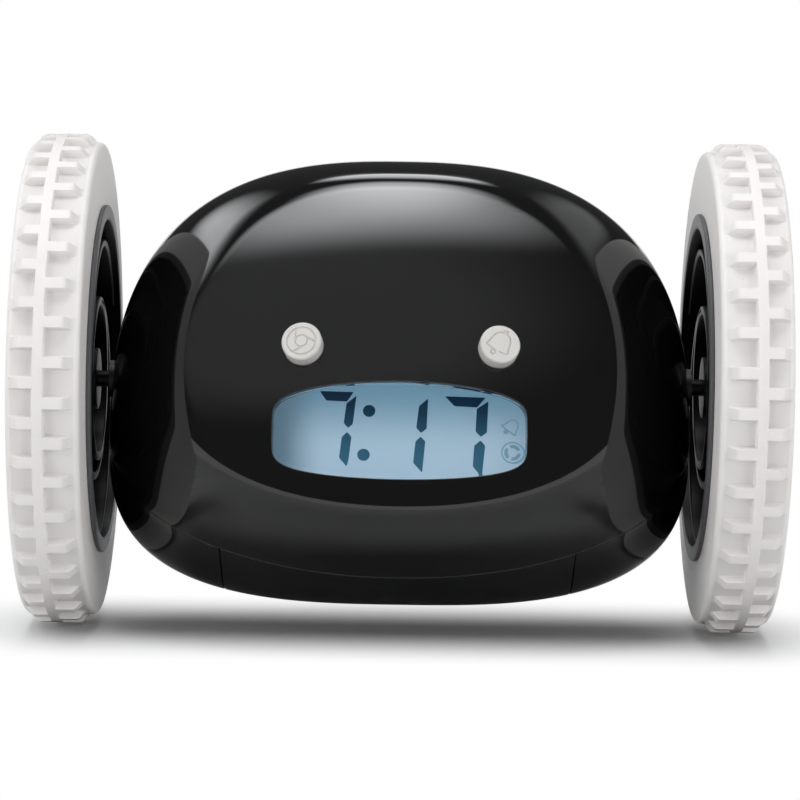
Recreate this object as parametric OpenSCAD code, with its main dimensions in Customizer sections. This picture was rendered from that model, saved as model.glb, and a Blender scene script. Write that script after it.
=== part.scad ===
// Two-wheeled runaway alarm clock: a rounded body with a face panel, slung low
// between two tyred wheels, each driven by its own motor and gear train.
// Millimetres, +Z up, the face looks along -Y, the axle runs along X.

/* [Wheels] */
// Radius of the wheel over the tyre's ribs
wheel_radius = 44.5; // [40:0.5:50]
// Gap between the body's side and the tyre's inner sidewall
wheel_gap = 1.4; // [1.2:0.1:4]
// Width of the tyre
tyre_width = 12.6; // [10:0.1:16]
// Height of the tyre's lugs and middle rib above the tread floor
lug_height = 1.6; // [0.8:0.1:2.2]
// Number of lugs round each edge of the tyre
lug_count = 40; // [24:1:48]
// Thickness of a lug along the tread
lug_thickness = 1.9; // [1.2:0.1:2.6]
// Width of the rib that runs round the middle of the tread
rib_width = 1.9; // [1:0.1:3]
// Radius of the tread's shoulders
shoulder_radius = 2.6; // [1.5:0.1:3.5]
// Radius of the rim's seat under the tyre
rim_seat_radius = 31.0; // [29:0.1:33]
// Height of the rim's lips above its seat
lip_height = 0.7; // [0.4:0.1:1.2]
// Thickness of the rim's barrel
barrel_wall = 2.0; // [1.6:0.1:3]
// How far the rim's lips stand out over the tyre's sidewalls
lip_stand = 0.8; // [0.4:0.1:1]
// Width of the rim's outer lip
outer_lip = 0.6; // [0.4:0.1:1]
// Thickness of the wheel's disc
disc_thickness = 1.6; // [1.2:0.1:2.4]
// Depth of the disc behind the outer lip
disc_depth = 3.6; // [2:0.1:6]
// Outer radius of the ring round the hub
hub_ring_radius = 15.0; // [12:0.1:18]
// Outer radius of the wheel's hub
hub_radius = 5.6; // [4:0.1:8]
// Number of swirled spokes on the inner side of the disc
spoke_count = 3; // [2:1:5]
// Thickness of the ring round the hub
hub_ring_wall = 1.6; // [1.4:0.1:2.4]
// Thickness of the swirled spokes
spoke_thickness = 1.3; // [1:0.05:1.35]
// Turn of the first spoke
spoke_turn = 143; // [0:1:359]
// Radius of the cap over the outer end of the hub
hub_cap_radius = 9.0; // [7:0.1:12]

/* [Body] */
// Half width of the body
body_half_width = 53.0; // [50:0.1:53.2]
// Depth of the body before the face panel is cut, from the middle forwards
body_front = 44.4; // [42:0.1:46]
// Depth of the body from the middle to the rear
body_rear = 37.0; // [35:0.1:40]
// Height of the crown above the middle of the body
body_crown = 50.6; // [47:0.1:52]
// Depth of the belly below the middle of the body
body_belly = 30.6; // [29.5:0.1:32]
// Drop of the middle of the body below the axle
body_drop = 10.0; // [9:0.1:11]
// Lean of the body towards the rear, in degrees
body_lean = 10; // [6:0.5:12]
// Squareness of the body seen from the side
side_power = 2.2; // [2:0.05:2.6]
// Squareness of the upper front seen from the side
brow_power = 2.05; // [2:0.05:2.4]
// Squareness of the front seen from above
front_power = 2.05; // [2:0.05:2.6]
// Squareness of the crown seen from the front
crown_power = 2.62; // [2.3:0.02:3]
// Squareness of the belly seen from the front
belly_power = 2.95; // [2.6:0.05:3.4]
// Wall of the shells
shell_wall = 2.2; // [1.8:0.1:2.6]
// Radius of the domed face panel
face_radius = 125; // [100:1:160]
// Lean of the face panel, in degrees
face_tilt = 24; // [20:0.5:28]
// Distance of the face panel's middle in front of the axle
face_front = 35.2; // [34:0.1:36.5]
// Height of the face panel's middle above the axle
face_rise = 4.0; // [2:0.1:6]
// Width of the soft crease round the face panel
face_blend = 1.6; // [0.8:0.1:4]
// Slope of the seam between the two shells, in degrees
seam_slope = 35; // [30:0.5:38]

/* [Face fittings] */
// Width of the display's opening
window_width = 43.9; // [40:0.1:46]
// Height of the display's opening in the middle
window_height = 17.2; // [15:0.1:19]
// How much lower the opening is at its ends, on each edge
window_bulge = 2.6; // [1:0.1:3.5]
// Distance of the display below the face panel's middle
window_drop = 9.2; // [8:0.1:11]
// Thickness of the display's window
window_thickness = 2.2; // [1.6:0.1:3]
// How much higher the display's glass sits than its opening
glass_lift = 1.2; // [0.8:0.1:1.4]
// Diameter of a face button
button_diameter = 7.0; // [6:0.1:9]
// How far a face button stands out of the face
button_stand = 2.8; // [2:0.1:3.5]
// Distance of each face button from the middle
button_offset = 16.7; // [14:0.1:19]
// Height of the face buttons above the face panel's middle
button_rise = 5.8; // [4.5:0.1:8]
// Travel of a button
button_travel = 0.6; // [0.3:0.05:1]
// Depth of the main board behind the face
board_depth = 12.0; // [11:0.1:13]
// Width of the main board
board_width = 61; // [60:0.5:61.5]
// Height of the main board
board_height = 36; // [34:0.5:37]
// Thickness of the boards
board_thickness = 1.6; // [1:0.1:2]
// Thickness of the display's glass
glass_thickness = 1.8; // [1.4:0.1:2.4]

/* [Drive] */
// Module of the gears
gear_module = 0.5; // [0.5:0.01:0.52]
// Teeth of the small gears
pinion_teeth = 10; // [9:1:12]
// Teeth of the first large gear
first_teeth = 36; // [32:1:38]
// Teeth of the second large gear
second_teeth = 34; // [30:1:36]
// Teeth of the gear on the wheel's shaft
output_teeth = 40; // [36:1:42]
// Thinning of each tooth, for play
tooth_play = 0.07; // [0.04:0.01:0.12]
// Thickness of the large gears
gear_thickness = 1.6; // [1.2:0.1:2]
// Radius of the wheel's shaft
shaft_radius = 1.5; // [1.2:0.05:2]
// Radius of the fixed pins that the gears turn on
pin_radius = 0.8; // [0.6:0.05:1]
// Radius of the motor's shaft
motor_shaft_radius = 1.0; // [0.8:0.05:1.1]
// Clearance of everything that turns, on the radius
running_clearance = 0.05; // [0.03:0.01:0.09]
// Radius of the motor's round sides
motor_radius = 10.0; // [9:0.1:10.5]
// Thickness of the motor across its flats
motor_flats = 15.2; // [13:0.1:16]
// Length of the motor
motor_length = 24.6; // [22:0.1:25]

/* [Power] */
// Diameter of a cell
cell_diameter = 10.5; // [10:0.1:11]
// Length of a cell
cell_length = 44.5; // [43:0.1:45]
// Height of the cells' middle below the axle
cell_drop = 27.4; // [26.8:0.1:28]
// Half width of the battery door
door_half_width = 31.5; // [30.5:0.1:33]
// How far the battery door reaches round the belly, in degrees
door_reach = 82; // [78:1:86]
// Gap round the battery door
door_gap = 0.15; // [0.1:0.01:0.3]
// Wall of the battery door
door_wall = 1.8; // [1.4:0.1:2.1]

/* [Rear] */
// Radius of the speaker
speaker_radius = 13.0; // [12:0.1:14]
// Drop of the speaker below the axle
speaker_drop = 13.0; // [12.5:0.1:14]
// Diameter of a set button
set_diameter = 5.0; // [4:0.1:5.5]
// Spacing of the set buttons
set_spacing = 13.0; // [11:0.1:15]
// Height of the set buttons above the axle
set_rise = 5.5; // [5:0.1:6.5]

/* [Hidden] */
wheel_inset = body_half_width + wheel_gap;
rim_inner = rim_seat_radius - barrel_wall;
lip_radius = rim_seat_radius + lip_height;
tyre_out = wheel_inset + tyre_width;
tyre_mid = wheel_inset + tyre_width / 2 + 0.75;
disc_out = tyre_out - disc_depth;
disc_in = disc_out - disc_thickness;
tread_floor = wheel_radius - lug_height;
hub_face = wheel_inset + 0.7;
ring_face = wheel_inset + 0.4;
shaft_seat = disc_in - 0.8;
first_distance = gear_module * (first_teeth + pinion_teeth) / 2;
second_distance = gear_module * (second_teeth + pinion_teeth) / 2;
output_distance = gear_module * (output_teeth + pinion_teeth) / 2;
second_turn = 105;
first_turn = 12;
motor_turn = -55;
second_axis = output_distance * [cos(second_turn), sin(second_turn)];
first_axis = second_axis + second_distance * [cos(first_turn), sin(first_turn)];
motor_axis = first_axis + first_distance * [cos(motor_turn), sin(motor_turn)];
case_start = 1.0 + motor_length;
case_floor = case_start + 1.6;
first_start = case_floor + 0.5;
first_pinion_start = first_start + gear_thickness;
second_start = first_pinion_start + 0.8;
first_pinion_end = second_start + gear_thickness + 0.3;
second_pinion_start = second_start + gear_thickness;
output_start = first_pinion_end + 0.5;
output_end = output_start + gear_thickness + 0.8;
second_pinion_end = output_end + 0.3;
case_lid = second_pinion_end + 0.4;
case_end = case_lid + 1.6;
pinion_length = gear_thickness + 0.6;
chassis_top = -(cell_drop - cell_diameter / 2 - 1.9);
chassis_thickness = 1.8;
glass_front = -(2.4 + window_thickness + 2.5);
screw_x = 35.5;
foot_x = case_start + 5;
foot_ys = [0.2, 7.8];
board_middle = -3;
seam_boss_x = 43.5;
seam_boss_y = 14;
screw_seat = 4;
bush_face = body_half_width - 4.2;
speaker_seat = 30;
rear_board_face = 30;
rear_post_x = set_spacing + 5.5;
glass_width = window_width + 2.0;
glass_height = window_height + 1.8;
cell_pitch = cell_diameter + 0.4;
bay_end = cell_length / 2 + 2.3;
stem_reach = 7.0;
button_sag = face_radius - sqrt(pow(face_radius, 2) - pow(button_offset, 2) - pow(button_rise, 2));
switch_x = button_offset * (1 - stem_reach / face_radius);
switch_y = button_rise * (1 - stem_reach / face_radius);
switch_top = board_depth - button_sag - stem_reach - button_travel - 0.3;
front_spread = 0.7;

// ---------- the form of the body ----------

function eased(t) = let(u = max(0, min(1, t))) u * u * (3 - 2 * u);

// Reach of the rounded body from its middle, in the direction turn, at a place x
function hull_reach(x, turn, inset) =
    let(
        lean = turn - body_lean,
        depth = (cos(lean) > 0 ? body_front : body_rear) - inset,
        rise = (sin(lean) > 0 ? body_crown : body_belly) - inset,
        side = cos(lean) > 0 && sin(lean) > 0 ? brow_power : side_power,
        section = pow(pow(abs(cos(lean)) / depth, side)
            + pow(abs(sin(lean)) / rise, side), 1 / side),
        middle = belly_power + (crown_power - belly_power) * eased((sin(lean) + 1) / 2),
        power = middle + (front_power - middle) * eased(cos(lean) / front_spread),
        across = max(0, 1 - pow(abs(x) / (body_half_width - inset), power))
    )
    pow(across, 1 / power) / section;

// Reach to the domed face panel
function face_reach(x, turn, inset) =
    let(
        back = face_radius * cos(face_tilt) - face_front,
        up = face_rise - face_radius * sin(face_tilt) + body_drop,
        along = up * sin(turn) - back * cos(turn),
        r = face_radius - inset
    )
    along + sqrt(max(0, along * along - back * back - up * up - x * x + r * r));

// The smaller of the two, with a soft crease where they meet
function body_reach(x, turn, inset) =
    let(
        a = hull_reach(x, turn, inset),
        b = face_reach(x, turn, inset),
        near = max(face_blend - abs(a - b), 0) / face_blend
    )
    min(a, b) - near * near * face_blend / 4;

function body_point(lat, turn, inset) =
    let(
        x = (body_half_width - inset) * sin(lat),
        reach = body_reach(x, turn, inset)
    )
    [x, -reach * cos(turn), reach * sin(turn) - body_drop];

// Latitudes from pole to pole, with one on each side of the battery door
door_lat = asin(door_half_width / body_half_width);
lats = concat(
    [for (k = [0:7]) -90 + k * (90 - door_lat) / 7],
    [for (k = [1:9]) -door_lat + k * door_lat / 5],
    [for (k = [0:7]) door_lat + k * (90 - door_lat) / 7]
);
turn_steps = 34;
door_steps = floor(turn_steps * door_reach / 180);
front_turns = [for (k = [0:turn_steps]) -seam_slope + k * 180 / turn_steps];
rear_turns = concat(
    [for (k = [0:turn_steps - door_steps]) 180 - seam_slope
        + k * (180 - door_reach) / (turn_steps - door_steps)],
    [for (k = [1:door_steps]) 360 - seam_slope - door_reach + k * door_reach / door_steps]
);
door_lats = [for (k = [-6:6]) k / 6 * asin((door_half_width - door_gap) / body_half_width)];
door_turns = [for (k = [0:14]) 360 - seam_slope - door_reach + 0.3
    + k / 14 * (door_reach - 0.5)];

function cell_faces(a, b, c, d, flip) = flip
    ? [[a, b, c], [a, c, d]]
    : [[a, d, c], [a, c, b]];

// A curved slab of the body's form between two insets. The grid runs over
// latitudes and turns; cells inside the hole are left out and walled round.
module body_slab(lat_list, turn_list, outer, inner, hole = [0, 0, 0, 0], poles = true) {
    n = len(lat_list) - 1;
    m = len(turn_list) - 1;
    first = poles ? 1 : 0;
    last = poles ? n - 1 : n;
    per_skin = (last - first + 1) * (m + 1) + (poles ? 2 : 0);
    function at(i, j) = poles && i == 0 ? per_skin - 2
        : poles && i == n ? per_skin - 1
        : (i - first) * (m + 1) + j;
    function open(i, j) = i < 0 || j < 0 || i >= n || j >= m
        || (i >= hole[0] && i < hole[1] && j >= hole[2] && j < hole[3]);
    function skin(inset) = concat(
        [for (i = [first:last]) for (j = [0:m]) body_point(lat_list[i], turn_list[j], inset)],
        poles ? [
            [-(body_half_width - inset), 0, -body_drop],
            [body_half_width - inset, 0, -body_drop]
        ] : []
    );
    walls = [for (i = [0:n - 1]) for (j = [0:m - 1]) if (!open(i, j))
        let(
            a = at(i, j), b = at(i + 1, j), c = at(i + 1, j + 1), d = at(i, j + 1)
        )
        concat(
            [for (f = cell_faces(a, b, c, d, false)) f],
            [for (f = cell_faces(a, b, c, d, true)) f + [per_skin, per_skin, per_skin]],
            open(i, j - 1) ? [[a, b, b + per_skin], [a, b + per_skin, a + per_skin]] : [],
            open(i, j + 1) ? [[c, d, d + per_skin], [c, d + per_skin, c + per_skin]] : [],
            open(i - 1, j) ? [[d, a, a + per_skin], [d, a + per_skin, d + per_skin]] : [],
            open(i + 1, j) ? [[b, c, c + per_skin], [b, c + per_skin, b + per_skin]] : []
        )];
    faces = [for (w = walls) for (f = w)
        if (f[0] != f[1] && f[1] != f[2] && f[2] != f[0]) f];
    polyhedron(concat(skin(outer), skin(inner)), faces, convexity = 6);
}

// The whole body as one solid, to trim what stands inside the shells
module body_core(inset) {
    steps = 20;
    rows = [for (k = [1:15]) -90 + k * 180 / 16];
    points = concat(
        [for (lat = rows) for (k = [0:steps - 1]) body_point(lat, k * 360 / steps, inset)],
        [[-(body_half_width - inset), 0, -body_drop], [body_half_width - inset, 0, -body_drop]]
    );
    left = len(points) - 2;
    right = len(points) - 1;
    faces = [for (k = [0:steps - 1]) let(k1 = (k + 1) % steps) concat(
        [[left, k1, k]],
        [for (i = [0:len(rows) - 2])
            for (f = cell_faces(i * steps + k, (i + 1) * steps + k,
                (i + 1) * steps + k1, i * steps + k1, false)) f],
        [[right, (len(rows) - 1) * steps + k, (len(rows) - 1) * steps + k1]]
    )];
    polyhedron(points, [for (f = faces) for (t = f) t], convexity = 2);
}

// ---------- places ----------

module at_axle() {
    translate([0, 0, wheel_radius]) children();
}

module mirrored() {
    mirror([1, 0, 0]) children();
}

// Along +X from a start, with the outline drawn in the plane of Y and Z
module along_x(start, length) {
    translate([start, 0, 0]) rotate([90, 0, 90]) linear_extrude(length) children();
}

// Turned round the axle: the profile is drawn as [x, radius]
module about_axle() {
    rotate([0, 90, 0]) rotate_extrude($fn = 120) rotate([0, 0, 90]) mirror([0, 1, 0])
        children();
}

// On the face panel: +Z outwards, +Y up the face
module on_face() {
    translate([0, -face_front, face_rise]) rotate([90 - face_tilt, 0, 0]) children();
}

// Square to the dome of the face at a point of it
module on_dome(x, y) {
    on_face() translate([0, 0, -face_radius])
        rotate([-asin(y / face_radius), asin(x / face_radius), 0])
        translate([0, 0, face_radius]) children();
}

// Square to the seam, with +Z into the front shell
module on_seam(x, y) {
    translate([0, 0, -body_drop]) rotate([seam_slope, 0, 0]) translate([x, y, 0]) children();
}

module block(x0, x1, y0, y1, z0, z1) {
    translate([x0, y0, z0]) cube([x1 - x0, y1 - y0, z1 - z0]);
}

module tube(outer, inner, length, sides = 48) {
    difference() {
        cylinder(r = outer, h = length, $fn = sides);
        translate([0, 0, -1]) cylinder(r = inner, h = length + 2, $fn = sides);
    }
}

module rounded(w, h, r) {
    square([w - 2 * r, h], center = true);
    square([w, h - 2 * r], center = true);
    for (sx = [-1, 1])
        for (sy = [-1, 1])
            translate([sx * (w / 2 - r), sy * (h / 2 - r)]) circle(r = r, $fn = 32);
}

// ---------- wheels ----------

module shoulder(x, side) {
    translate([x, wheel_radius - shoulder_radius]) intersection() {
        circle(r = shoulder_radius, $fn = 64);
        translate([side > 0 ? 0 : -9, 0]) square(9);
    }
}

// Outline that the tread's lugs fill, drawn as [x, radius]
module tread_outline() {
    inner = wheel_inset + 0.2;
    outer = tyre_out;
    translate([inner, tread_floor - 3])
        square([outer - inner, 3 + lug_height - shoulder_radius]);
    translate([inner + shoulder_radius, tread_floor - 3])
        square([outer - inner - 2 * shoulder_radius, 3 + lug_height]);
    shoulder(inner + shoulder_radius, -1);
    shoulder(outer - shoulder_radius, 1);
}

module lug_ring(start, length, phase) {
    low = tread_floor - 0.6;
    half = asin(lug_thickness / 2 / wheel_radius);
    step = 360 / lug_count;
    points = [for (k = [0:lug_count - 1]) for (p = [[low, -1], [wheel_radius + 1, -1],
        [wheel_radius + 1, 1], [low, 1]])
        let(turn = (k + phase) * step + p[1] * half * wheel_radius / p[0])
        p[0] * [cos(turn), sin(turn)]];
    along_x(start, length) difference() {
        polygon(points);
        circle(r = low - 1.4, $fn = 96);
    }
}

module tyre() {
    color([0.93, 0.93, 0.91]) {
        about_axle() {
            difference() {
                union() {
                    translate([wheel_inset, rim_seat_radius])
                        square([tyre_width, tread_floor - rim_seat_radius - 1.9]);
                    translate([wheel_inset + 1.9, rim_seat_radius])
                        square([tyre_width - 3.8, tread_floor - rim_seat_radius]);
                    for (x = [wheel_inset + 1.9, tyre_out - 1.9])
                        translate([x, tread_floor - 1.9]) circle(r = 1.9, $fn = 48);
                }
                translate([tyre_out - outer_lip, rim_seat_radius - 1]) square([2, 1 + lip_height + 0.3]);
            }
            translate([tyre_mid - rib_width / 2, tread_floor - 0.5])
                square([rib_width, lug_height + 0.5]);
        }
        intersection() {
            union() {
                lug_ring(wheel_inset, tyre_mid - rib_width / 2 - 0.6 - wheel_inset, 0);
                lug_ring(tyre_mid + rib_width / 2 + 0.6, tyre_out - tyre_mid, 0.5);
            }
            about_axle() tread_outline();
        }
    }
}

module swirl(phase) {
    big = (rim_inner + 0.5 + hub_ring_radius - 0.2) / 2;
    aside = rim_inner + 0.5 - big;
    rotate(phase) intersection() {
        translate([aside, 0]) difference() {
            circle(r = big, $fn = 96);
            circle(r = big - spoke_thickness, $fn = 96);
        }
        translate([-rim_inner, 0.2]) square([2 * rim_inner, rim_inner]);
    }
}

module rim() {
    color([0.02, 0.02, 0.022]) {
        about_axle() polygon([
            [wheel_inset - lip_stand, rim_inner], [disc_in, rim_inner], [disc_in, hub_radius],
            [hub_face, hub_radius], [hub_face, shaft_radius], [shaft_seat, shaft_radius],
            [shaft_seat, 0], [disc_out, 0], [disc_out, rim_inner], [tyre_out, rim_inner],
            [tyre_out, lip_radius], [tyre_out - outer_lip, lip_radius],
            [tyre_out - outer_lip, rim_seat_radius], [wheel_inset, rim_seat_radius],
            [wheel_inset, lip_radius], [wheel_inset - lip_stand, lip_radius]
        ]);
        along_x(ring_face, disc_in - ring_face + 0.5) {
            difference() {
                circle(r = hub_ring_radius, $fn = 96);
                circle(r = hub_ring_radius - hub_ring_wall, $fn = 96);
            }
            for (k = [0:spoke_count - 1])
                swirl(spoke_turn + k * 360 / spoke_count);
        }
    }
}

module hub_cap() {
    color([0.03, 0.03, 0.032]) about_axle() {
        translate([disc_out, 0]) square([1.6, hub_cap_radius - 0.8]);
        translate([disc_out, hub_cap_radius - 1.6]) square([0.8, 1.6]);
        intersection() {
            translate([disc_out + 0.8, hub_cap_radius - 0.8]) circle(r = 0.8, $fn = 32);
            translate([disc_out, 0]) square([1.6, hub_cap_radius]);
        }
    }
}

module wheel_shaft() {
    color([0.75, 0.75, 0.77]) along_x(case_start + 0.3, shaft_seat - case_start - 0.3)
        circle(r = shaft_radius, $fn = 48);
}

module shaft_bush() {
    flange = 1.2;
    color([0.72, 0.55, 0.28]) difference() {
        union() {
            along_x(bush_face, 4.2) circle(r = shaft_radius + 1.9, $fn = 48);
            along_x(bush_face - flange, flange) circle(r = shaft_radius + 3.4, $fn = 48);
        }
        along_x(body_half_width - 8, 10) circle(r = shaft_radius + running_clearance, $fn = 48);
    }
}

// ---------- gears ----------

function involute(angle) = tan(angle) * 180 / PI - angle;

// Half angle of a tooth at a radius
function tooth_half(teeth, r) =
    let(
        pitch = gear_module * teeth / 2,
        base = pitch * cos(20),
        half = 90 / teeth - tooth_play / 2 / pitch * 180 / PI
    )
    half + involute(20) - involute(acos(min(1, base / r)));

module gear_outline(teeth, phase) {
    pitch = gear_module * teeth / 2;
    base = pitch * cos(20);
    root = pitch - 1.25 * gear_module;
    tip = pitch + gear_module * 0.95;
    low = max(base, root);
    radii = [for (k = [0:3]) low + (tip - low) * k / 3];
    flank = concat([[root, tooth_half(teeth, low)]], [for (r = radii) [r, tooth_half(teeth, r)]]);
    points = [for (k = [0:teeth - 1]) for (p = concat(
        [for (f = flank) [f[0], -f[1]]],
        [for (q = [len(flank) - 1:-1:0]) flank[q]]))
        let(turn = phase + k * 360 / teeth + p[1]) p[0] * [cos(turn), sin(turn)]];
    polygon(points);
}

// A gear phase that puts a gap towards the driver in direction turn, seen from it
function meshed(teeth, turn) = turn + 180 + 180 / teeth;

module on_axis(place) {
    translate([0, place[0], place[1]]) children();
}

module output_gear() {
    color([0.92, 0.9, 0.84]) difference() {
        union() {
            along_x(output_start, output_end - output_start)
                gear_outline(output_teeth, meshed(output_teeth, second_turn + 180));
            along_x(output_start - 2.6, case_lid - 0.2 - output_start + 2.6)
                circle(r = shaft_radius + 1.8, $fn = 40);
        }
        along_x(case_floor, 20) circle(r = shaft_radius, $fn = 48);
    }
}

module compound(large, start, thickness, small_end, large_phase, small_phase) {
    difference() {
        union() {
            along_x(start, thickness) gear_outline(large, large_phase);
            along_x(start, small_end - start) gear_outline(pinion_teeth, small_phase);
        }
        along_x(start - 1, 14) circle(r = pin_radius + running_clearance, $fn = 40);
    }
}

module second_gear() {
    color([0.9, 0.9, 0.88]) on_axis(second_axis)
        compound(second_teeth, second_start, gear_thickness, second_pinion_end,
            meshed(second_teeth, first_turn + 180), second_turn + 180);
}

module first_gear() {
    color([0.92, 0.92, 0.9]) on_axis(first_axis)
        compound(first_teeth, first_start, gear_thickness, first_pinion_end,
            meshed(first_teeth, motor_turn + 180), first_turn + 180);
}

module motor_pinion() {
    color([0.8, 0.66, 0.36]) on_axis(motor_axis) difference() {
        along_x(first_start - 0.3, pinion_length) gear_outline(pinion_teeth, motor_turn + 180);
        along_x(first_start - 2, 9) circle(r = motor_shaft_radius, $fn = 40);
    }
}

module motor_shaft() {
    color([0.78, 0.78, 0.8]) on_axis(motor_axis)
        along_x(1.4, first_start - 0.3 + pinion_length + 0.4 - 1.4)
        circle(r = motor_shaft_radius, $fn = 40);
}

module motor_outline(inset) {
    intersection() {
        circle(r = motor_radius - inset, $fn = 64);
        square([3 * motor_radius, motor_flats - 2 * inset], center = true);
    }
}

module motor_can() {
    color([0.7, 0.71, 0.73]) on_axis(motor_axis) difference() {
        along_x(2.8, case_start - 2.8) motor_outline(0);
        along_x(1, 1.8 + motor_length - 2.4) motor_outline(0.8);
        along_x(0, 60) circle(r = motor_shaft_radius + running_clearance, $fn = 40);
    }
}

module motor_cap() {
    color([0.88, 0.86, 0.8]) on_axis(motor_axis) difference() {
        union() {
            along_x(1.0, 1.8) motor_outline(0);
            along_x(2.6, 2.2) motor_outline(0.8);
            along_x(4.6, motor_length - 6.4) circle(r = 6.6, $fn = 40);
        }
        along_x(0, 60) circle(r = motor_shaft_radius + running_clearance, $fn = 40);
    }
}

module case_outline(grow) {
    hull() {
        circle(r = gear_module * output_teeth / 2 + 1.4 + grow, $fn = 48);
        translate(second_axis) circle(r = gear_module * second_teeth / 2 + 1.2 + grow, $fn = 48);
        translate(first_axis) circle(r = gear_module * first_teeth / 2 + 1.2 + grow, $fn = 48);
        translate(motor_axis) circle(r = 6 + grow, $fn = 32);
    }
}

module gear_case() {
    color([0.85, 0.85, 0.82]) difference() {
        union() {
            along_x(case_start, case_lid - case_start) case_outline(1.4);
            block(case_start, case_lid, -8, 16, chassis_top, -6);
        }
        along_x(case_floor, 30) case_outline(0);
        on_axis(motor_axis) along_x(0, 40) circle(r = 3.4, $fn = 40);
        on_axis([0, 0]) along_x(case_start - 1, 3)
            circle(r = shaft_radius + running_clearance, $fn = 40);
        for (p = [first_axis, second_axis])
            on_axis(p) along_x(case_start - 1, 3) circle(r = pin_radius, $fn = 32);
        for (y = foot_ys)
            translate([foot_x, y, chassis_top - 1]) cylinder(r = 0.9, h = 6, $fn = 24);
        translate([screw_x, 14, chassis_top - 1]) cylinder(r = 2.3, h = 4, $fn = 32);
        for (y = [-3.6, 4, 11.6])
            block(case_floor + 0.4, case_lid + 1, y - 2.6, y + 2.6, chassis_top + 1.6,
                y > 8 ? -9 : -13.4);
    }
}

module gear_lid() {
    color([0.82, 0.82, 0.8]) difference() {
        union() {
            along_x(case_lid, 1.6) case_outline(1.4);
            along_x(case_lid, 3.6) circle(r = 4.2, $fn = 40);
        }
        along_x(case_lid - 1, 9) circle(r = shaft_radius + running_clearance, $fn = 48);
        for (p = [first_axis, second_axis])
            on_axis(p) along_x(case_lid - 1, 9) circle(r = pin_radius, $fn = 32);
    }
}

module side_pins() {
    for (p = [first_axis, second_axis])
        on_axis(p) along_x(case_start, case_end - case_start) circle(r = pin_radius, $fn = 32);
}

module gear_pins() {
    color([0.75, 0.75, 0.78]) {
        side_pins();
        mirrored() side_pins();
    }
}

module chassis_screw_places() {
    for (x = [-screw_x, screw_x])
        for (y = [-14, 14])
            translate([x, y, 0]) children();
}

module screw(length, radius, head) {
    difference() {
        union() {
            cylinder(r = radius, h = length, $fn = 24);
            translate([0, 0, -head * 0.7]) cylinder(r = head, h = head * 0.7, $fn = 32);
        }
        for (turn = [0, 90])
            rotate(turn) translate([-head, -0.25, -head * 0.7 - 1]) cube([2 * head, 0.5, 1.5]);
    }
}

module gear_screws() {
    color([0.6, 0.6, 0.62]) for (x = [-foot_x, foot_x])
        for (y = foot_ys)
            translate([x, y, chassis_top - chassis_thickness]) screw(6, 0.9, 1.7);
}

// ---------- shells ----------

// Outline of the display's opening: bulging edges and blunt rounded ends
module window_outline(grow) {
    w = window_width / 2 + grow;
    h = window_height / 2 + grow;
    function edge(x) = (h - window_bulge * pow(x / w, 2)) * pow(max(0, 1 - pow(abs(x) / w, 7)), 1 / 7);
    turns = [for (k = [0:28]) -90 + k * 180 / 28];
    polygon(concat(
        [for (t = turns) [w * sin(t), edge(w * sin(t))]],
        [for (k = [27:-1:1]) [w * sin(turns[k]), -edge(w * sin(turns[k]))]]
    ));
}

module axle_bores(radius) {
    rotate([0, 90, 0]) translate([0, 0, -60]) cylinder(r = radius, h = 120, $fn = 64);
}

module board_post_places() {
    for (x = [-1, 1])
        for (y = [-1, 1])
            translate([x * (board_width / 2 - 3.9), board_middle + y * (board_height / 2 - 4.4), 0])
                children();
}

// Bosses for the shells' screws, on the side where side is 1 or -1
module seam_bosses(side) {
    for (x = [-1, 1])
        for (y = [-seam_boss_y, seam_boss_y])
            on_seam(x * seam_boss_x, y) mirror([0, 0, side > 0 ? 0 : 1]) {
                cylinder(r = 3, h = side > 0 ? 9 : 30, $fn = 40);
                translate([x > 0 ? 0 : -20, -0.9, 0]) cube([20, 1.8, side > 0 ? 9 : 20]);
            }
}

module front_shell() {
    color([0.015, 0.015, 0.017]) difference() {
        union() {
            body_slab(lats, front_turns, 0, shell_wall);
            intersection() {
                body_core(0.5);
                union() {
                    seam_bosses(1);
                    on_face() board_post_places() translate([0, 0, -board_depth])
                        cylinder(r = 2.4, h = board_depth, $fn = 32);
                    for (side = [-1, 1])
                        translate([side > 0 ? bush_face : -bush_face - 10, 0, 0])
                            rotate([0, 90, 0]) cylinder(r = 5.6, h = 10, $fn = 48);
                }
            }
        }
        on_face() translate([0, -window_drop, -9]) linear_extrude(18) window_outline(0);
        for (side = [-1, 1])
            on_dome(side * button_offset, button_rise) translate([0, 0, -9])
                cylinder(r = button_diameter / 2 + 0.15, h = 18, $fn = 64);
        axle_bores(shaft_radius + 1.9);
        for (x = [-1, 1])
            for (y = [-seam_boss_y, seam_boss_y])
                on_seam(x * seam_boss_x, y) translate([0, 0, -1])
                    cylinder(r = 0.9, h = 8, $fn = 32);
        on_face() board_post_places() translate([0, 0, -board_depth - 1])
            cylinder(r = 0.9, h = 6, $fn = 32);
    }
}

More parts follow.
